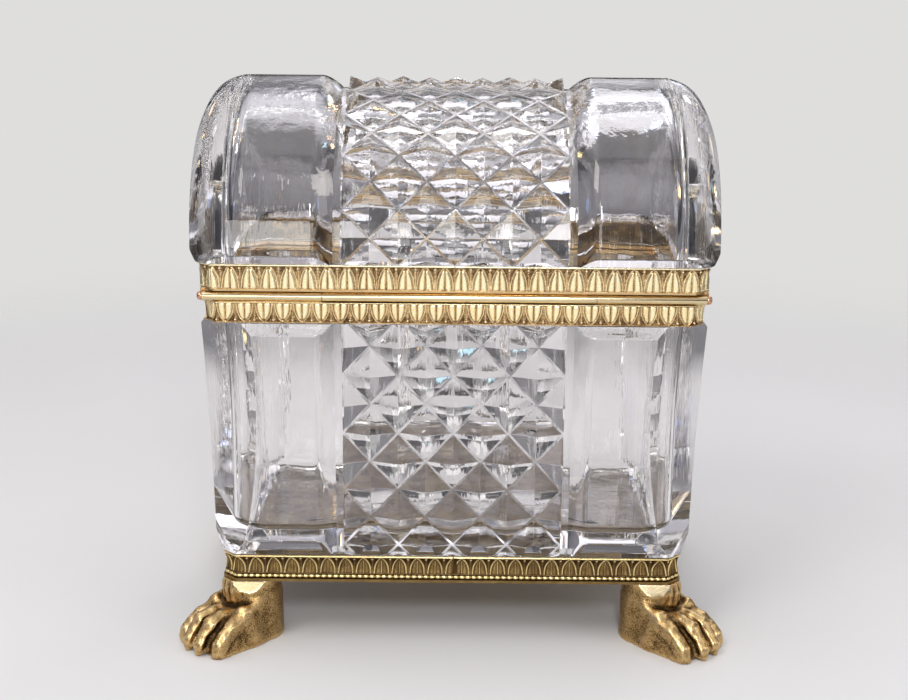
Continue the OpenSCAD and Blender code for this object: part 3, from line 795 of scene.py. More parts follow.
def leaf_strip(name, half, z0, z1, prof, field, tips_up, style, right, left, p0, seam, amp, mat, plain=None, per=30, nf=26):
    a, b = half
    X = a - CANT
    C0 = np.array([(-X, -b), (X, -b), (a, -(b - CANT)), (a, b - CANT), (X, b), (-X, b), (-a, b - CANT), (-a, -(b - CANT))], float)
    s2 = 1 - K / 1.0
    # change of each corner per mm of inset
    k = 1 - K
    dC = np.array([(k, 1), (-k, 1), (-1, k), (-1, -k), (-k, -1), (k, -1), (1, -k), (1, k)], float)
    seg, tt, ss = [], [], []
    s = 0.0
    order = [(0, seam + 0.08, X)] + [(i, None, None) for i in range(1, 8)] + [(0, -X, seam - 0.08)]
    for q, (i, x0, x1) in enumerate(order):
        j = (i + 1) % 8
        L = np.linalg.norm(C0[j] - C0[i])
        if x0 is None:
            t0, t1 = 0.0, 1.0
        else:
            t0, t1 = (x0 + X) / (2 * X), (x1 + X) / (2 * X)
        n = max(8, int(round(L * (t1 - t0) / p0 * per)))
        t = np.linspace(t0, t1, n + 1)
        if q > 0:
            t = t[1:]
        seg += [i] * len(t)
        tt += list(t)
        ss += list(s + (t - t0) * L)
        s += (t1 - t0) * L
    seg, tt, ss = np.array(seg), np.array(tt), np.array(ss)
    sR = X - (seam + 0.08)
    sL = s - (seam - 0.08 + X)
    UR = (X - right[0]) / right[1]
    rem = (-X - left[0]) / left[1]
    M = round(UR + (sL - sR) / p0 - rem)
    UL = M + rem
    U = np.where(ss <= sR, (seam + 0.08 + ss - right[0]) / right[1],
                 np.where(ss >= sL, UL + (ss - sL) / left[1], UR + (ss - sR) / (sL - sR) * (UL - UR)))
    zf0, zf1, base_in = field
    vv = np.linspace(0, 1, nf)
    zf = zf0 + (zf1 - zf0) * vv
    lower, upper = prof
    rows_z = np.array([p[0] for p in lower] + list(zf) + [p[0] for p in upper])
    rows_in = np.array([p[1] for p in lower] + [base_in(q) for q in vv] + [p[1] for p in upper])
    leafv = vv if tips_up else 1 - vv
    nl, nu = len(lower), len(upper)
    H = np.zeros((len(U), len(rows_z)))
    UU, VV = np.meshgrid(U, leafv, indexing="ij")
    h = leaf(UU, VV, style)
    rng = np.random.default_rng(11)
    jit = rng.normal(0, 1, (int(U.max() - U.min()) + 4,))
    h = h * (1 + 0.05 * jit[np.clip(np.round(UU - U.min()).astype(int), 0, len(jit) - 1)])
    # stippled ground
    stip = rng.random(h.shape)
    h = np.maximum(h, 0.17 * stip * (h < 0.10))
    if plain is not None:
        xw = np.where(ss <= sR, seam + 0.08 + ss, 1e3)
        h[(xw > plain[0]) & (xw < plain[1])] = 0.12
    H[:, nl:nl + nf] = h * amp
    inset = np.maximum(rows_in[None, :] - H, 0.0)
    rel = np.ones_like(H) * 0.78
    lip = {"lid": 0.36, "bod": 0.50}.get(name[:3], 0.85)
    rel[:, nl:nl + nf] = np.clip(0.05 + 1.02 * h, 0, 1)
    edge = np.array([0.35 if p[1] > 0.3 else lip for p in lower] + [0] * nf + [0.55 if p[1] > 0.3 else 0.92 for p in upper])
    for r in list(range(nl)) + list(range(nl + nf, nl + nf + nu)):
        rel[:, r] = edge[r]
    # inner face closes the section
    inset = np.concatenate([inset, np.full((len(U), 2), 1.34)], 1)
    rel = np.concatenate([rel, np.full((len(U), 2), 0.4)], 1)
    zz = np.concatenate([rows_z, [rows_z[-1], rows_z[0]]])
    Acorner, Bcorner = C0[seg], C0[(seg + 1) % 8]
    dA, dB = dC[seg], dC[(seg + 1) % 8]
    t = tt[:, None, None]
    tau = inset[:, :, None]
    xy = (1 - t) * (Acorner[:, None, :] + tau * dA[:, None, :]) + t * (Bcorner[:, None, :] + tau * dB[:, None, :])
    pts = np.concatenate([xy, np.broadcast_to(zz[None, :, None], xy.shape[:2] + (1,))], 2)
    return grid_mesh(name, pts, [mat], attr={"relief": rel})


def bead_wire(name, half, zc, rz, ro, inset0, pitch, mat, seam, per=14):
    a, b = half
    X = a - CANT
    C0 = np.array([(-X, -b), (X, -b), (a, -(b - CANT)), (a, b - CANT), (X, b), (-X, b), (-a, b - CANT), (-a, -(b - CANT))], float)
    k = 1 - K
    dC = np.array([(k, 1), (-k, 1), (-1, k), (-1, -k), (-k, -1), (k, -1), (1, -k), (1, k)], float)
    seg, tt, ph = [], [], []
    order = [(0, seam, X)] + [(i, None, None) for i in range(1, 8)] + [(0, -X, seam)]
    for q, (i, x0, x1) in enumerate(order):
        j = (i + 1) % 8
        L = np.linalg.norm(C0[j] - C0[i])
        t0, t1 = (0.0, 1.0) if x0 is None else ((x0 + X) / (2 * X), (x1 + X) / (2 * X))
        nb = max(1, int(round(L * (t1 - t0) / pitch)))
        n = nb * per
        t = np.linspace(t0, t1, n + 1)
        p = np.linspace(0, nb, n + 1)
        if q > 0:
            t, p = t[1:], p[1:]
        seg += [i] * len(t)
        tt += list(t)
        ph += list(p)
    seg, tt, ph = np.array(seg), np.array(tt), np.array(ph)
    x = (ph - np.floor(ph) - 0.5) / 0.46
    prof = 0.42 + 0.58 * np.sqrt(np.clip(1 - x ** 2, 0, 1))
    th = np.linspace(-math.pi / 2, math.pi / 2, 12)
    zz = zc + prof[:, None] * rz * np.sin(th)[None, :]
    ins = inset0 - prof[:, None] * ro * np.cos(th)[None, :]
    ins = np.maximum(ins, 0.0)
    zz = np.concatenate([zz, np.full((len(zz), 1), zc + rz * 0.4), np.full((len(zz), 1), zc - rz * 0.4)], 1)
    ins = np.concatenate([ins, np.full((len(ins), 2), 1.34)], 1)
    rel = np.concatenate([0.2 + 0.8 * prof[:, None] * np.cos(th)[None, :] ** 0.5, np.full((len(ins), 2), 0.3)], 1)
    A, B = C0[seg], C0[(seg + 1) % 8]
    dA, dB = dC[seg], dC[(seg + 1) % 8]
    t = tt[:, None, None]
    tau = ins[:, :, None]
    xy = (1 - t) * (A[:, None, :] + tau * dA[:, None, :]) + t * (B[:, None, :] + tau * dB[:, None, :])
    pts = np.concatenate([xy, zz[:, :, None]], 2)
    return grid_mesh(name, pts, [mat], attr={"relief": np.nan_to_num(rel)})


# ------------------------------------------------------------------ lion paws
def surface_net(V, lo, step):
    inside = V < 0
    corners = [(a, b, c) for a in (0, 1) for b in (0, 1) for c in (0, 1)]
    nx, ny, nz = V.shape
    cnt = sum(inside[a:nx - 1 + a, b:ny - 1 + b, c:nz - 1 + c].astype(int) for a, b, c in corners)
    act = (cnt > 0) & (cnt < 8)
    idx = -np.ones(act.shape, int)
    idx[act] = np.arange(act.sum())
    acc = np.zeros(act.shape + (3,))
    num = np.zeros(act.shape)
    for ax in range(3):
        o1, o2 = [k for k in range(3) if k != ax]
        for p in (0, 1):
            for q in (0, 1):
                c0 = [0, 0, 0]
                c0[o1], c0[o2] = p, q
                c1 = list(c0)
                c1[ax] = 1
                A = V[c0[0]:nx - 1 + c0[0], c0[1]:ny - 1 + c0[1], c0[2]:nz - 1 + c0[2]]
                B = V[c1[0]:nx - 1 + c1[0], c1[1]:ny - 1 + c1[1], c1[2]:nz - 1 + c1[2]]
                cr = (A < 0) != (B < 0)
                with np.errstate(divide="ignore", invalid="ignore"):
                    t = np.where(cr, A / (A - B), 0)
                pos = np.zeros(act.shape + (3,))
                for k in range(3):
                    pos[..., k] = c0[k]
                pos[..., ax] = t
                acc += np.where(cr[..., None], pos, 0)
                num += cr
    ijk = np.argwhere(act)
    loc = acc[act] / num[act][:, None]
    verts = np.array(lo) + (ijk + loc) * step
    quads = []
    for ax in range(3):
        o1, o2 = (ax + 1) % 3, (ax + 2) % 3
        sl0 = [slice(None)] * 3
        sl1 = [slice(None)] * 3
        sl0[ax], sl1[ax] = slice(0, -1), slice(1, None)
        A, B = inside[tuple(sl0)], inside[tuple(sl1)]
        ch = np.argwhere(A != B)
        keep = (ch[:, o1] > 0) & (ch[:, o2] > 0) & (ch[:, o1] < V.shape[o1] - 1) & (ch[:, o2] < V.shape[o2] - 1)
        ch = ch[keep]

        def cell(d1, d2):
            c = ch.copy()
            c[:, o1] += d1
            c[:, o2] += d2
            return idx[c[:, 0], c[:, 1], c[:, 2]]
        q = np.stack([cell(-1, -1), cell(0, -1), cell(0, 0), cell(-1, 0)], 1)
        out = A[ch[:, 0], ch[:, 1], ch[:, 2]]
        q[~out] = q[~out][:, ::-1]
        quads.append(q)
    return verts, np.vstack(quads)


def smin(a, b, k):
    h = np.clip(0.5 + 0.5 * (b - a) / k, 0, 1)
    return b * (1 - h) + a * h - k * h * (1 - h)


def cone(P, a, b, r1, r2):
    a, b = np.array(a, float), np.array(b, float)
    d = b - a
    t = np.clip(((P - a) @ d) / (d @ d), 0, 1)
    return np.linalg.norm(P - a - t[..., None] * d, axis=-1) - (r1 + (r2 - r1) * t)


def smax(a, b, k):
    return -smin(-a, -b, k)


def paw_field(P):
    x, y, z = P[..., 0], P[..., 1], P[..., 2]
    ay = np.abs(y)
    ankle = np.hypot(x - 0.1, y) - (8.1 + 0.35 * np.clip((4 - z) / 4, 0, 1) - 0.15 * np.clip((z - 12) / 6, 0, 1))
    # boxy paw: plan outline, then a top that dips behind the knuckles
    half = 9.3 - 0.075 * z - 0.18 * np.exp(-((x - 12.0) / 2.4) ** 2)
    rc = 3.6 - 1.7 * np.clip((x - 10) / 4, 0, 1)
    qx, qy = np.abs(x - 10.2) - (9.0 - rc), ay - (half - rc)
    plan = np.hypot(np.maximum(qx, 0), np.maximum(qy, 0)) + np.minimum(np.maximum(qx, qy), 0) - rc
    plan = smin(plan, np.hypot(x + 0.3, y) - 7.9, 2.0)
    top = np.interp(x, [2, 6, 8.6, 10.6, 12.6, 15, 17, 19, 21, 23], [14.5, 12.9, 11.1, 10.3, 9.6, 8.0, 6.4, 4.6, 2.7, 1.2])
    top = top - 0.012 * ay ** 2
    f = smax(plan, (z - top) * 0.86, 1.6)
    f = smin(f, ankle, 1.6)
    # instep bulge that catches the light on each side panel
    for sg in (-1, 1):
        f = smin(f, cone(P, (8.2, sg * 6.2, 9.9), (6.6, sg * 7.4, 3.0), 2.3, 2.5), 1.4)
    # two middle toes with high knuckles; the outer toes are the crisp front edges of the side panels
    toes = None
    for sg in (-1, 1):
        yy = sg * 2.38
        pts = [(9.0, yy * 0.76, 8.4, 2.2), (13.0, yy * 0.92, 8.5, 2.25), (16.3, yy, 7.5, 2.6), (18.8, yy * 1.04, 5.1, 2.0), (20.1, yy * 1.06, 2.9, 2.45)]
        t = None
        for u, v in zip(pts, pts[1:]):
            c = cone(P, u[:3], v[:3], u[3], v[3])
            t = c if t is None else smin(t, c, 0.5)
        t = smin(t, cone(P, (20.7, yy * 1.06, 2.2), (21.3, yy * 1.06, 0.9), 1.35, 0.95), 0.35)
        toes = t if toes is None else smin(toes, t, 0.3)
        pts = [(8.0, sg * 6.5, 7.6, 2.1), (13.2, sg * 7.05, 7.0, 2.0), (16.0, sg * 7.4, 5.5, 1.75), (17.9, sg * 7.65, 3.6, 1.75), (18.5, sg * 7.7, 2.0, 1.7)]
        t = None
        for u, v in zip(pts, pts[1:]):
            c = cone(P, u[:3], v[:3], u[3], v[3])
            t = c if t is None else smin(t, c, 0.6)
        t = smin(t, cone(P, (18.7, sg * 7.3, 1.7), (19.2, sg * 7.1, 0.9), 1.2, 0.9), 0.35)
        f = smin(f, t, 1.5)
    f = smin(f, toes, 0.8)
    for m in (-1, 0, 1):
        ym = m * 4.95
        d = 1.3 * abs(m)
        g = 1 + 0.22 * abs(m)
        path = [(10.6, ym * 0.86, 11.2, 0.2), (13.2, ym * 0.95, 10.5 - 0.9 * abs(m), 0.5 * g), (16.8 - d, ym * 0.99, 8.5 - 0.6 * abs(m), 0.66 * g),
                (20.3 - d, ym, 5.0, 0.82 * g), (22.4 - d, ym, 1.2, 0.88 * g)]
        for u, v in zip(path, path[1:]):
            f = smax(f, -cone(P, u[:3], v[:3], u[3], v[3]), 0.6)
    # fur tuft over the instep: hanging locks with a shadow under them
    tuft = None
    for th, dz, rr in ((-37, 0.7, 1.7), (-21, -0.1, 1.95), (-5, -0.7, 2.05), (10, -0.3, 1.85), (22, 0.9, 1.35)):
        c, s = math.cos(math.radians(th)), math.sin(math.radians(th))
        a = (0.1 + 5.9 * c, 5.9 * s, 18.6)
        b = (0.1 + 6.9 * c, 6.9 * s, 15.3)
        d = (0.1 + 7.35 * c, 7.35 * s, 12.9 + dz)
        lock = smin(cone(P, a, b, rr + 0.2, rr + 0.12), cone(P, b, d, rr + 0.12, rr * 0.72), 0.5)
        tuft = lock if tuft is None else smin(tuft, lock, 0.28)
    for th in (-29.0, -13, 2.5, 16.5):
        c, s = math.cos(math.radians(th)), math.sin(math.radians(th))
        tuft = smax(tuft, -cone(P, (0.1 + 8.75 * c, 8.75 * s, 18.5), (0.1 + 9.35 * c, 9.35 * s, 12.0), 0.42, 0.62), 0.5)
    # hammer and chasing marks
    f = f + 0.10 * np.sin(1.9 * x + 0.7 * z) * np.sin(1.7 * y - 0.5 * x) * np.cos(1.3 * z + 0.6 * y) * np.clip((x - 4) / 6, 0.25, 1)
    ang = np.abs(np.degrees(np.arctan2(y, x)))
    under = np.hypot(np.hypot(x - 0.1, y) - 8.9, z - 10.9 - 0.035 * ang) - 0.75 + 0.06 * np.clip(ang - 36, 0, 60)
    f = smax(f, -under, 0.9)
    f = smin(f, tuft, 0.35)
    # flats filed under the pan's edges; local +45 faces the long side
    for ang, d0 in ((45, 6.6), (-45, 7.85)):
        c, s = math.cos(math.radians(ang)), math.sin(math.radians(ang))
        r = x * c + y * s
        pl = ((r - d0) * 4.7 + (z - FOOT_H) * 2.3) / math.hypot(4.7, 2.3)
        f = np.maximum(f, np.where(z > 12.2, pl, -5.0))
    f = np.maximum(f, -z)
    f = np.maximum(f, z - (FOOT_H - 0.02))
    return f


def build_paw():
    step = 0.30
    lo = np.array([-11.0, -12.0, -0.6])
    hi = np.array([23.6, 12.0, 18.8])
    n = np.ceil((hi - lo) / step).astype(int) + 1
    g = [lo[k] + step * np.arange(n[k]) for k in range(3)]
    P = np.stack(np.meshgrid(*g, indexing="ij"), -1)
    V = paw_field(P)
    verts, quads = surface_net(V, lo, step)
    # relax once along the surface, then measure hollowness for the patina
    m = len(verts)
    e = np.vstack([quads[:, [0, 1]], quads[:, [1, 2]], quads[:, [2, 3]], quads[:, [3, 0]]])
    deg = np.bincount(e.ravel(), minlength=m).astype(float)

    def average(v):
        s = np.zeros_like(v)
        for k in range(v.shape[1]):
            s[:, k] = np.bincount(e[:, 0], v[e[:, 1], k], m) + np.bincount(e[:, 1], v[e[:, 0], k], m)
        return s / deg[:, None]
    flat = (verts[:, 2] < 0.25) | (verts[:, 2] > FOOT_H - 0.3)
    av = average(verts)
    verts = np.where(flat[:, None], verts, verts + 0.45 * (av - verts))
    verts[:, 2] = np.clip(verts[:, 2], 0.0, FOOT_H - 0.02)
    wide = verts.copy()
    for _ in range(14):
        wide = average(wide)
    tri = quads[:, :3]
    nrm = np.zeros_like(verts)
    fn = np.cross(verts[quads[:, 2]] - verts[quads[:, 0]], verts[quads[:, 3]] - verts[quads[:, 1]])
    for k in range(4):
        for c in range(3):
            nrm[:, c] += np.bincount(quads[:, k], fn[:, c], m)
    nrm /= np.linalg.norm(nrm, axis=1)[:, None] + 1e-9
    hollow = np.sum((verts - wide) * nrm, 1)
    rel = np.clip(0.57 + hollow * 2.5, 0.02, 1.0)
    # painted shade: colour darker where the surface faces sideways or down, as under the fur and low on the sides, and
    # lighter on top where it faces up
    rel *= np.clip(0.78 + 0.34 * nrm[:, 2], 0.4, 1.05)
    # the two filed flats keep their polish
    fq = fn / (np.linalg.norm(fn, axis=1)[:, None] + 1e-12)
    zc = verts[quads].mean(1)[:, 2]
    flat_face = np.zeros(len(quads), np.int32)
    for ang in (45, -45):
        c, s = math.cos(math.radians(ang)), math.sin(math.radians(ang))
        pn = np.array([4.7 * c, 4.7 * s, 2.3]) / math.hypot(4.7, 2.3)
        mid = verts[quads].mean(1)
        d0 = 6.6 if ang > 0 else 7.85
        off = ((mid[:, 0] * c + mid[:, 1] * s - d0) * 4.7 + (mid[:, 2] - FOOT_H) * 2.3) / math.hypot(4.7, 2.3)
        flat_face |= ((fq @ pn > 0.97) & (zc > 12.2) & (np.abs(off) < 0.15)).astype(np.int32)
    return verts, quads, rel, flat_face


PAW = build_paw()


def place_paw(name, sx, sy):
    verts, quads, rel, flat_face = PAW
    mirrored = sx * sy < 0
    v = verts.copy()
    q = quads.copy()
    if mirrored:
        v[:, 1] *= -1
        q = q[:, ::-1]
    a = math.radians(sy * 45 if sx > 0 else 180 - sy * 45)
    c, s = math.cos(a), math.sin(a)
    w = np.stack([c * v[:, 0] - s * v[:, 1] + sx * FOOT[0], s * v[:, 0] + c * v[:, 1] + sy * FOOT[1], v[:, 2]], 1)
    me = bpy.data.meshes.new(name)
    me.vertices.add(len(w))
    me.vertices.foreach_set("co", (w * 0.001).astype(np.float32).ravel())
    me.loops.add(q.size)
    me.loops.foreach_set("vertex_index", q.ravel().astype(np.int32))
    me.polygons.add(len(q))
    me.polygons.foreach_set("loop_start", np.arange(0, q.size, 4).astype(np.int32))
    me.polygons.foreach_set("use_smooth", np.ones(len(q), bool))
    me.update(calc_edges=True)
    me.validate()
    me.materials.append(M_FEET)
    me.materials.append(M_FILED)
    me.polygons.foreach_set("material_index", flat_face)
    at = me.attributes.new("relief", "FLOAT", "POINT")
    at.data.foreach_set("value", rel.astype(np.float32))
    obj = link(bpy.data.objects.new(name, me))
    bm = bmesh.new()
    bm.from_mesh(me)
    for e in bm.edges:
        if len(e.link_faces) == 2 and (e.calc_face_angle(0) > math.radians(38) or e.link_faces[0].material_index != e.link_faces[1].material_index):
            e.smooth = False
    bm.to_mesh(me)
    bm.free()
    return obj


# ------------------------------------------------------------------ build everything
def done(obj, body, nodes):
    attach(obj, body)
    if nodes:
        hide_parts(*nodes)
    return obj


body_glass = sharpen(build_body_glass(), 21)
print("body glass", volume_cm3(body_glass), len(body_glass.data.polygons))
done(body_glass, "base", ["body_glass"])
lid_glass = sharpen(build_lid_glass(), 21)
print("lid glass", volume_cm3(lid_glass), len(lid_glass.data.polygons))
done(lid_glass, "lid", ["lid_glass"])

lid_strip = leaf_strip(
    "lid_leaf_band", LB, 102.7, 109.65,
    ([(102.70, 0.66), (102.73, 0.48), (102.80, 0.38), (102.90, 0.38), (102.97, 0.52)],
     [(109.06, 0.36), (109.14, 0.14), (109.26, 0.03), (109.42, 0.0), (109.54, 0.05), (109.62, 0.18), (109.65, 0.36)]),
    (103.02, 108.98, lambda v: 0.88 + 0.18 * math.sin(math.pi * v) - 0.16 * v), True, "lobed",
    (1.74, 5.124), (-2.62, 5.212), 5.19, 0.0, 0.74, M_LIDBAND)
done(lid_strip, "lid", ["lid_frieze"])
body_strip = leaf_strip(
    "body_leaf_band", BB, 93.4, 99.15,
    ([(93.46, 0.64), (93.48, 0.46), (93.53, 0.36), (93.61, 0.31), (93.69, 0.35), (93.75, 0.48)],
     [(98.86, 0.40), (98.93, 0.22), (99.0, 0.12), (99.08, 0.10), (99.13, 0.2), (99.15, 0.4)]),
    (93.80, 98.80, lambda v: 0.84 + 0.16 * math.sin(math.pi * v) - 0.08 * v), False, "lobed",
    (5.82, 5.17), (0.30, 5.157), 5.13, 3.0, 0.72, M_BODYBAND)
done(body_strip, "base", ["body_frieze"])
base_strip = leaf_strip(
    "base_leaf_band", FB, 20.2, 25.8,
    ([(20.2, 0.6), (20.24, 0.42), (20.34, 0.34), (20.46, 0.40)],
     [(25.18, 0.40), (25.24, 0.16), (25.34, 0.04), (25.48, 0.0), (25.64, 0.03), (25.75, 0.16), (25.8, 0.36)]),
    (20.54, 25.10, lambda v: 0.70 + 0.42 * math.sin(math.pi * v) - 0.10 * v), True, "veined",
    (2.76, 5.08), (0.28, 5.066), 5.05, 0.35, 0.58, M_BASEBAND, plain=(0.0, 1.3))
done(base_strip, "base", ["base_frieze"])
beads = bead_wire("base_bead_row", FB, 19.575, 0.555, 0.60, 0.64, 1.69, M_BASEBAND, 0.35)
done(beads, "base", ["base_bead"])

for node, name, body, bev in (("body_collar", "body_collar_gilt", "base", 0.14), ("lid_collar", "lid_collar_gilt", "lid", 0.14),
                              ("base_tray", "base_pan_gilt", "base", 0.14), ("thumb_tab", "thumb_tab_gilt", "lid", 0.3)):
    done(cad_copy(node, name, [M_PAN if node == "base_tray" else M_PLAIN], bev, 3), body, [node])
for node, name, body in (("hinge_knuckle_left", "hinge_tube_left", "base"), ("hinge_knuckle_right", "hinge_tube_right", "base"),
                         ("hinge_knuckle_centre", "hinge_tube_centre", "lid")):
    done(cad_copy(node, name, [M_TUBE], 0.1, 3, 50), body, [node])
done(cad_copy("hinge_pin", "hinge_pin_riveted", [M_PIN], 0.08, 2, 50), "base", ["hinge_pin"])

for sx, sy, node in ((-1, -1, "foot_hinge_left"), (1, -1, "foot_hinge_right"), (-1, 1, "foot_front_left"), (1, 1, "foot_front_right")):
    done(place_paw("paw_" + node[5:], sx, sy), "base", [node])

for node, mat in (("body_bedding", M_SETTING), ("base_bedding", M_CEMENT), ("lid_bedding", M_SETTING),
                  ("foot_studs", M_STEEL), ("foot_nuts", M_STEEL)):
    me = NODES[node].data
    me.materials.clear()
    me.materials.append(mat)


# ------------------------------------------------------------------ stage, light, camera
PALE = (0.735, 0.73, 0.72)
LEVEL = 0.38


def floor():
    """A pale round table top whose rim fades into the pale backdrop."""
    n, m = 24, 96
    v = [(0.0, 0.0, 0.0)]
    for i in range(1, n + 1):
        r = 0.62 * (i / n) ** 1.3
        v += [(r * math.cos(2 * math.pi * j / m), r * math.sin(2 * math.pi * j / m), 0.0) for j in range(m)]
    f = [(0, 1 + j, 1 + (j + 1) % m) for j in range(m)]
    for i in range(n - 1):
        a, b = 1 + i * m, 1 + (i + 1) * m
        f += [(a + j, b + j, b + (j + 1) % m, a + (j + 1) % m) for j in range(m)]
    me = bpy.data.meshes.new("floor")
    me.from_pydata(v, [], f)
    mt, t, b = material("floor_paper")
    co = t.n("ShaderNodeTexCoord").outputs["Object"]
    c = t.ramp(t.noise(co, 5, 3, 0.5), [(0.35, (0.755, 0.75, 0.74)), (0.7, (0.785, 0.78, 0.77))])
    # painted shade: rays through the glass and diffuse bounce see the floor as darker grey, which darkens the glass and
    # the undersides; camera and glossy rays see it pale
    lpf = t.n("ShaderNodeLightPath")
    seen = t.math("MAXIMUM", lpf.outputs["Is Camera Ray"], lpf.outputs["Is Glossy Ray"])
    put(t, b, Base_Color=t.mix(seen, (0.53, 0.51, 0.52), c), Roughness=0.85)
    b.inputs["Specular IOR Level"].default_value = 0.2
    r = t.n("ShaderNodeVectorMath", operation="LENGTH", ins={0: co}).outputs["Value"]
    fade = t.n("ShaderNodeMapRange", interpolation_type="SMOOTHSTEP", ins={"Value": r, "From Min": 0.24, "From Max": 0.60}).outputs[0]
    clear = t.n("ShaderNodeBsdfTransparent")
    out = [x for x in t.t.nodes if x.bl_idname == "ShaderNodeOutputMaterial"][0]
    mx = t.n("ShaderNodeMixShader", ins={0: fade, 1: b.outputs[0], 2: clear.outputs[0]})
    t.t.links.new(mx.outputs[0], out.inputs[0])
    me.materials.append(mt)
    o = link(bpy.data.objects.new("floor", me))
    o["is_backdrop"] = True


floor()


def area(name, loc, target, size, power, color=(1, 1, 1), size_y=None, through=True):
    d = bpy.data.lights.new(name, "AREA")
    d.energy = power
    d.color = color
    d.shape = "RECTANGLE"
    d.size = size
    d.size_y = size_y or size
    o = link(bpy.data.objects.new(name, d))
    o.location = loc
    v = Vector(target) - Vector(loc)
    o.rotation_euler = v.to_track_quat("-Z", "Y").to_euler()
    o.visible_camera = False
    o.visible_transmission = through
    return o


area("key", (-0.50, -0.62, 0.95), (0, 0, 0.08), 0.40, 8.0 * LEVEL, (1.0, 0.97, 0.92))
area("fill", (0.85, -0.45, 0.55), (0, 0, 0.08), 0.45, 3.0 * LEVEL, (1.0, 0.97, 0.93))
area("top", (0.0, 0.10, 1.15), (0, 0, 0.08), 1.25, 9.8 * LEVEL)
area("back", (0.20, 0.95, 0.60), (0, 0, 0.1), 0.7, 1.9 * LEVEL, (0.98, 0.97, 1.0), 0.5)
area("lamp", (0.03, -0.50, 0.34), (0, 0, 0.1), 0.09, 2.0 * LEVEL, (0.92, 0.96, 1.0))
area("front", (-0.06, -0.80, 0.22), (0, 0, 0.10), 0.30, 2.9 * LEVEL, (1.0, 0.985, 0.96), 0.26)
area("side_l", (-0.80, 0.05, 0.17), (0, 0, 0.10), 0.40, 0.7 * LEVEL, (1.0, 0.985, 0.96), 0.22, False)
area("side_r", (0.80, 0.05, 0.17), (0, 0, 0.10), 0.40, 0.7 * LEVEL, (1.0, 0.985, 0.96), 0.22, False)

w = bpy.data.worlds.new("studio")
scene.world = w
w.use_nodes = True
t = Tree(w.node_tree)
out = t.n("ShaderNodeOutputWorld")
dirv = t.n("ShaderNodeTexCoord").outputs["Generated"]
sep = t.n("ShaderNodeSeparateXYZ", ins={0: dirv})
env = t.ramp(t.math("MULTIPLY_ADD", sep.outputs[2], 0.5, 0.5),
             [(0.0, (0.12, 0.12, 0.13)), (0.40, (0.13, 0.13, 0.14)), (0.485, (0.22, 0.215, 0.23)), (0.52, (0.028, 0.028, 0.034)),
              (0.60, (0.035, 0.035, 0.042)), (0.67, (0.22, 0.215, 0.24)), (0.80, (0.36, 0.35, 0.385)), (1.0, (0.72, 0.71, 0.74))])


# uneven studio walls: soft brighter and darker patches above the horizon
patch = t.noise(dirv, 1.9, 2, 0.5)
patch = t.n("ShaderNodeMapRange", interpolation_type="SMOOTHSTEP", ins={"Value": patch, "From Min": 0.36, "From Max": 0.64, "To Min": 0.30, "To Max": 1.75}).outputs[0]
above = t.n("ShaderNodeMapRange", interpolation_type="SMOOTHSTEP", ins={"Value": sep.outputs[2], "From Min": 0.05, "From Max": 0.35}).outputs[0]
gain = t.mix(above, (1.0, 1.0, 1.0), patch)
env = t.mix(1.0, env, gain, "MULTIPLY")


def glow(col, dvec, deg, soft, rgb, strength):
    d = Vector(dvec).normalized()
    dot = t.n("ShaderNodeVectorMath", operation="DOT_PRODUCT", ins={0: dirv, 1: tuple(d)}).outputs["Value"]
    f = t.n("ShaderNodeMapRange", interpolation_type="SMOOTHSTEP",
            ins={"Value": dot, "From Min": math.cos(math.radians(deg + soft)), "From Max": math.cos(math.radians(deg))}).outputs[0]
    return t.mix(f, col, t.mix(1.0, (0, 0, 0), tuple(strength * k for k in rgb), "ADD"), "ADD")


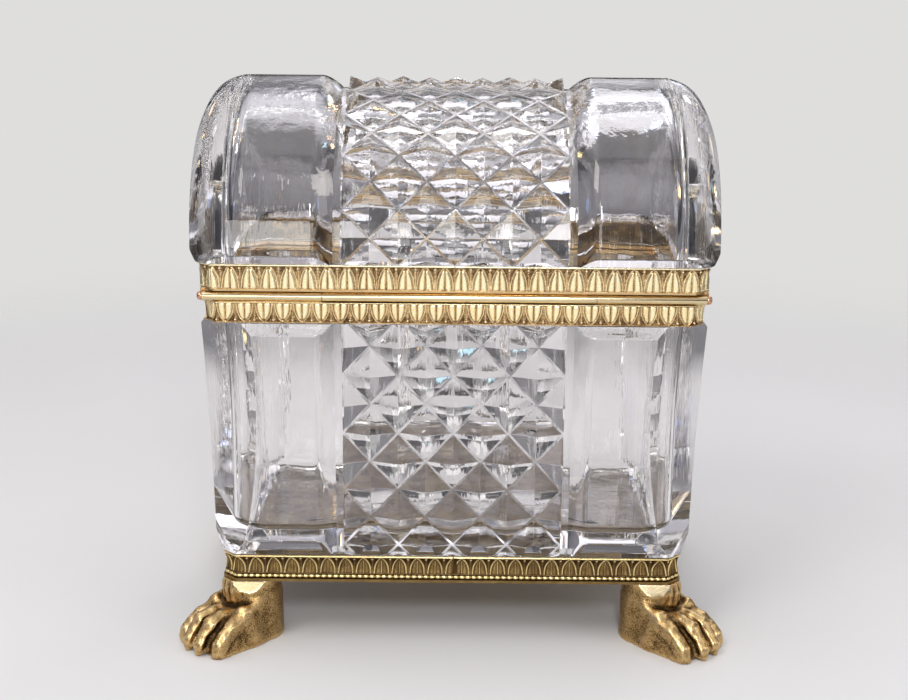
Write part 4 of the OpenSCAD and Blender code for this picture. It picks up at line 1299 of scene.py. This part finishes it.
for dvec, deg, rgb, st in (((-0.9, -0.35, 0.34), 3.0, (0.25, 0.42, 1.0), 5.0), ((0.8, -0.6, 0.42), 3.0, (0.35, 0.5, 1.0), 4.0),
                           ((0.95, 0.25, 0.30), 2.6, (1.0, 0.62, 0.25), 4.5), ((-0.6, 0.8, 0.35), 2.6, (1.0, 0.7, 0.35), 4.0),
                           ((0.25, 0.97, 0.28), 2.0, (0.55, 0.68, 1.0), 1.6), ((-0.25, -0.95, 0.55), 2.4, (1.0, 0.95, 0.85), 6.0),
                           ((-0.45, 0.86, 0.20), 1.3, (0.55, 0.85, 1.0), 1.2), ((0.62, 0.78, 0.12), 1.4, (1.0, 0.82, 0.40), 1.8),
                           ((0.45, 0.75, 0.62), 2.6, (1.0, 1.0, 1.0), 6.0), ((-0.75, 0.3, 0.72), 2.4, (1.0, 0.98, 0.95), 6.0)):
    env = glow(env, dvec, deg, 2.0, rgb, st)
cam_bg = t.n("ShaderNodeBackground", ins={"Color": (*PALE, 1), "Strength": 1.0})
lp = t.n("ShaderNodeLightPath")
# a warm bounce from below, in front of the box, that only reflection rays see
low = t.n("ShaderNodeMapRange", interpolation_type="SMOOTHSTEP", ins={"Value": sep.outputs[2], "From Min": -0.02, "From Max": -0.12}).outputs[0]
near = t.n("ShaderNodeMapRange", interpolation_type="SMOOTHSTEP", ins={"Value": sep.outputs[1], "From Min": -0.35, "From Max": -0.75}).outputs[0]
env = t.mix(t.math("MULTIPLY", t.math("MULTIPLY", low, near), lp.outputs["Is Glossy Ray"]), env, (0.98, 0.92, 0.84))
env_bg = t.n("ShaderNodeBackground", ins={"Color": env, "Strength": 1.0})
mixs = t.n("ShaderNodeMixShader", ins={0: lp.outputs["Is Camera Ray"], 1: env_bg.outputs[0], 2: cam_bg.outputs[0]})
t.t.links.new(mixs.outputs[0], out.inputs[0])

cam_data = bpy.data.cameras.new("photo")
cam_data.lens = 57.73
cam_data.sensor_width = 36.0
cam_data.sensor_fit = "HORIZONTAL"
cam_data.clip_start = 0.01
cam_data.clip_end = 50
cam = link(bpy.data.objects.new("photo", cam_data))
cam.rotation_mode = "QUATERNION"
cam.location = (0.0, -0.4213, 0.1813)
cam.rotation_quaternion = (Matrix.Rotation(math.radians(76), 3, "X") @ Matrix.Rotation(math.radians(0.55), 3, "Z")).to_quaternion()
scene.camera = cam

scene.view_settings.view_transform = "Standard"
scene.view_settings.look = "None"
scene.cycles.max_bounces = 24
scene.cycles.transmission_bounces = 20
scene.cycles.glossy_bounces = 10
scene.cycles.transparent_max_bounces = 12
scene.cycles.sample_clamp_indirect = 6.0

low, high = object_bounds()
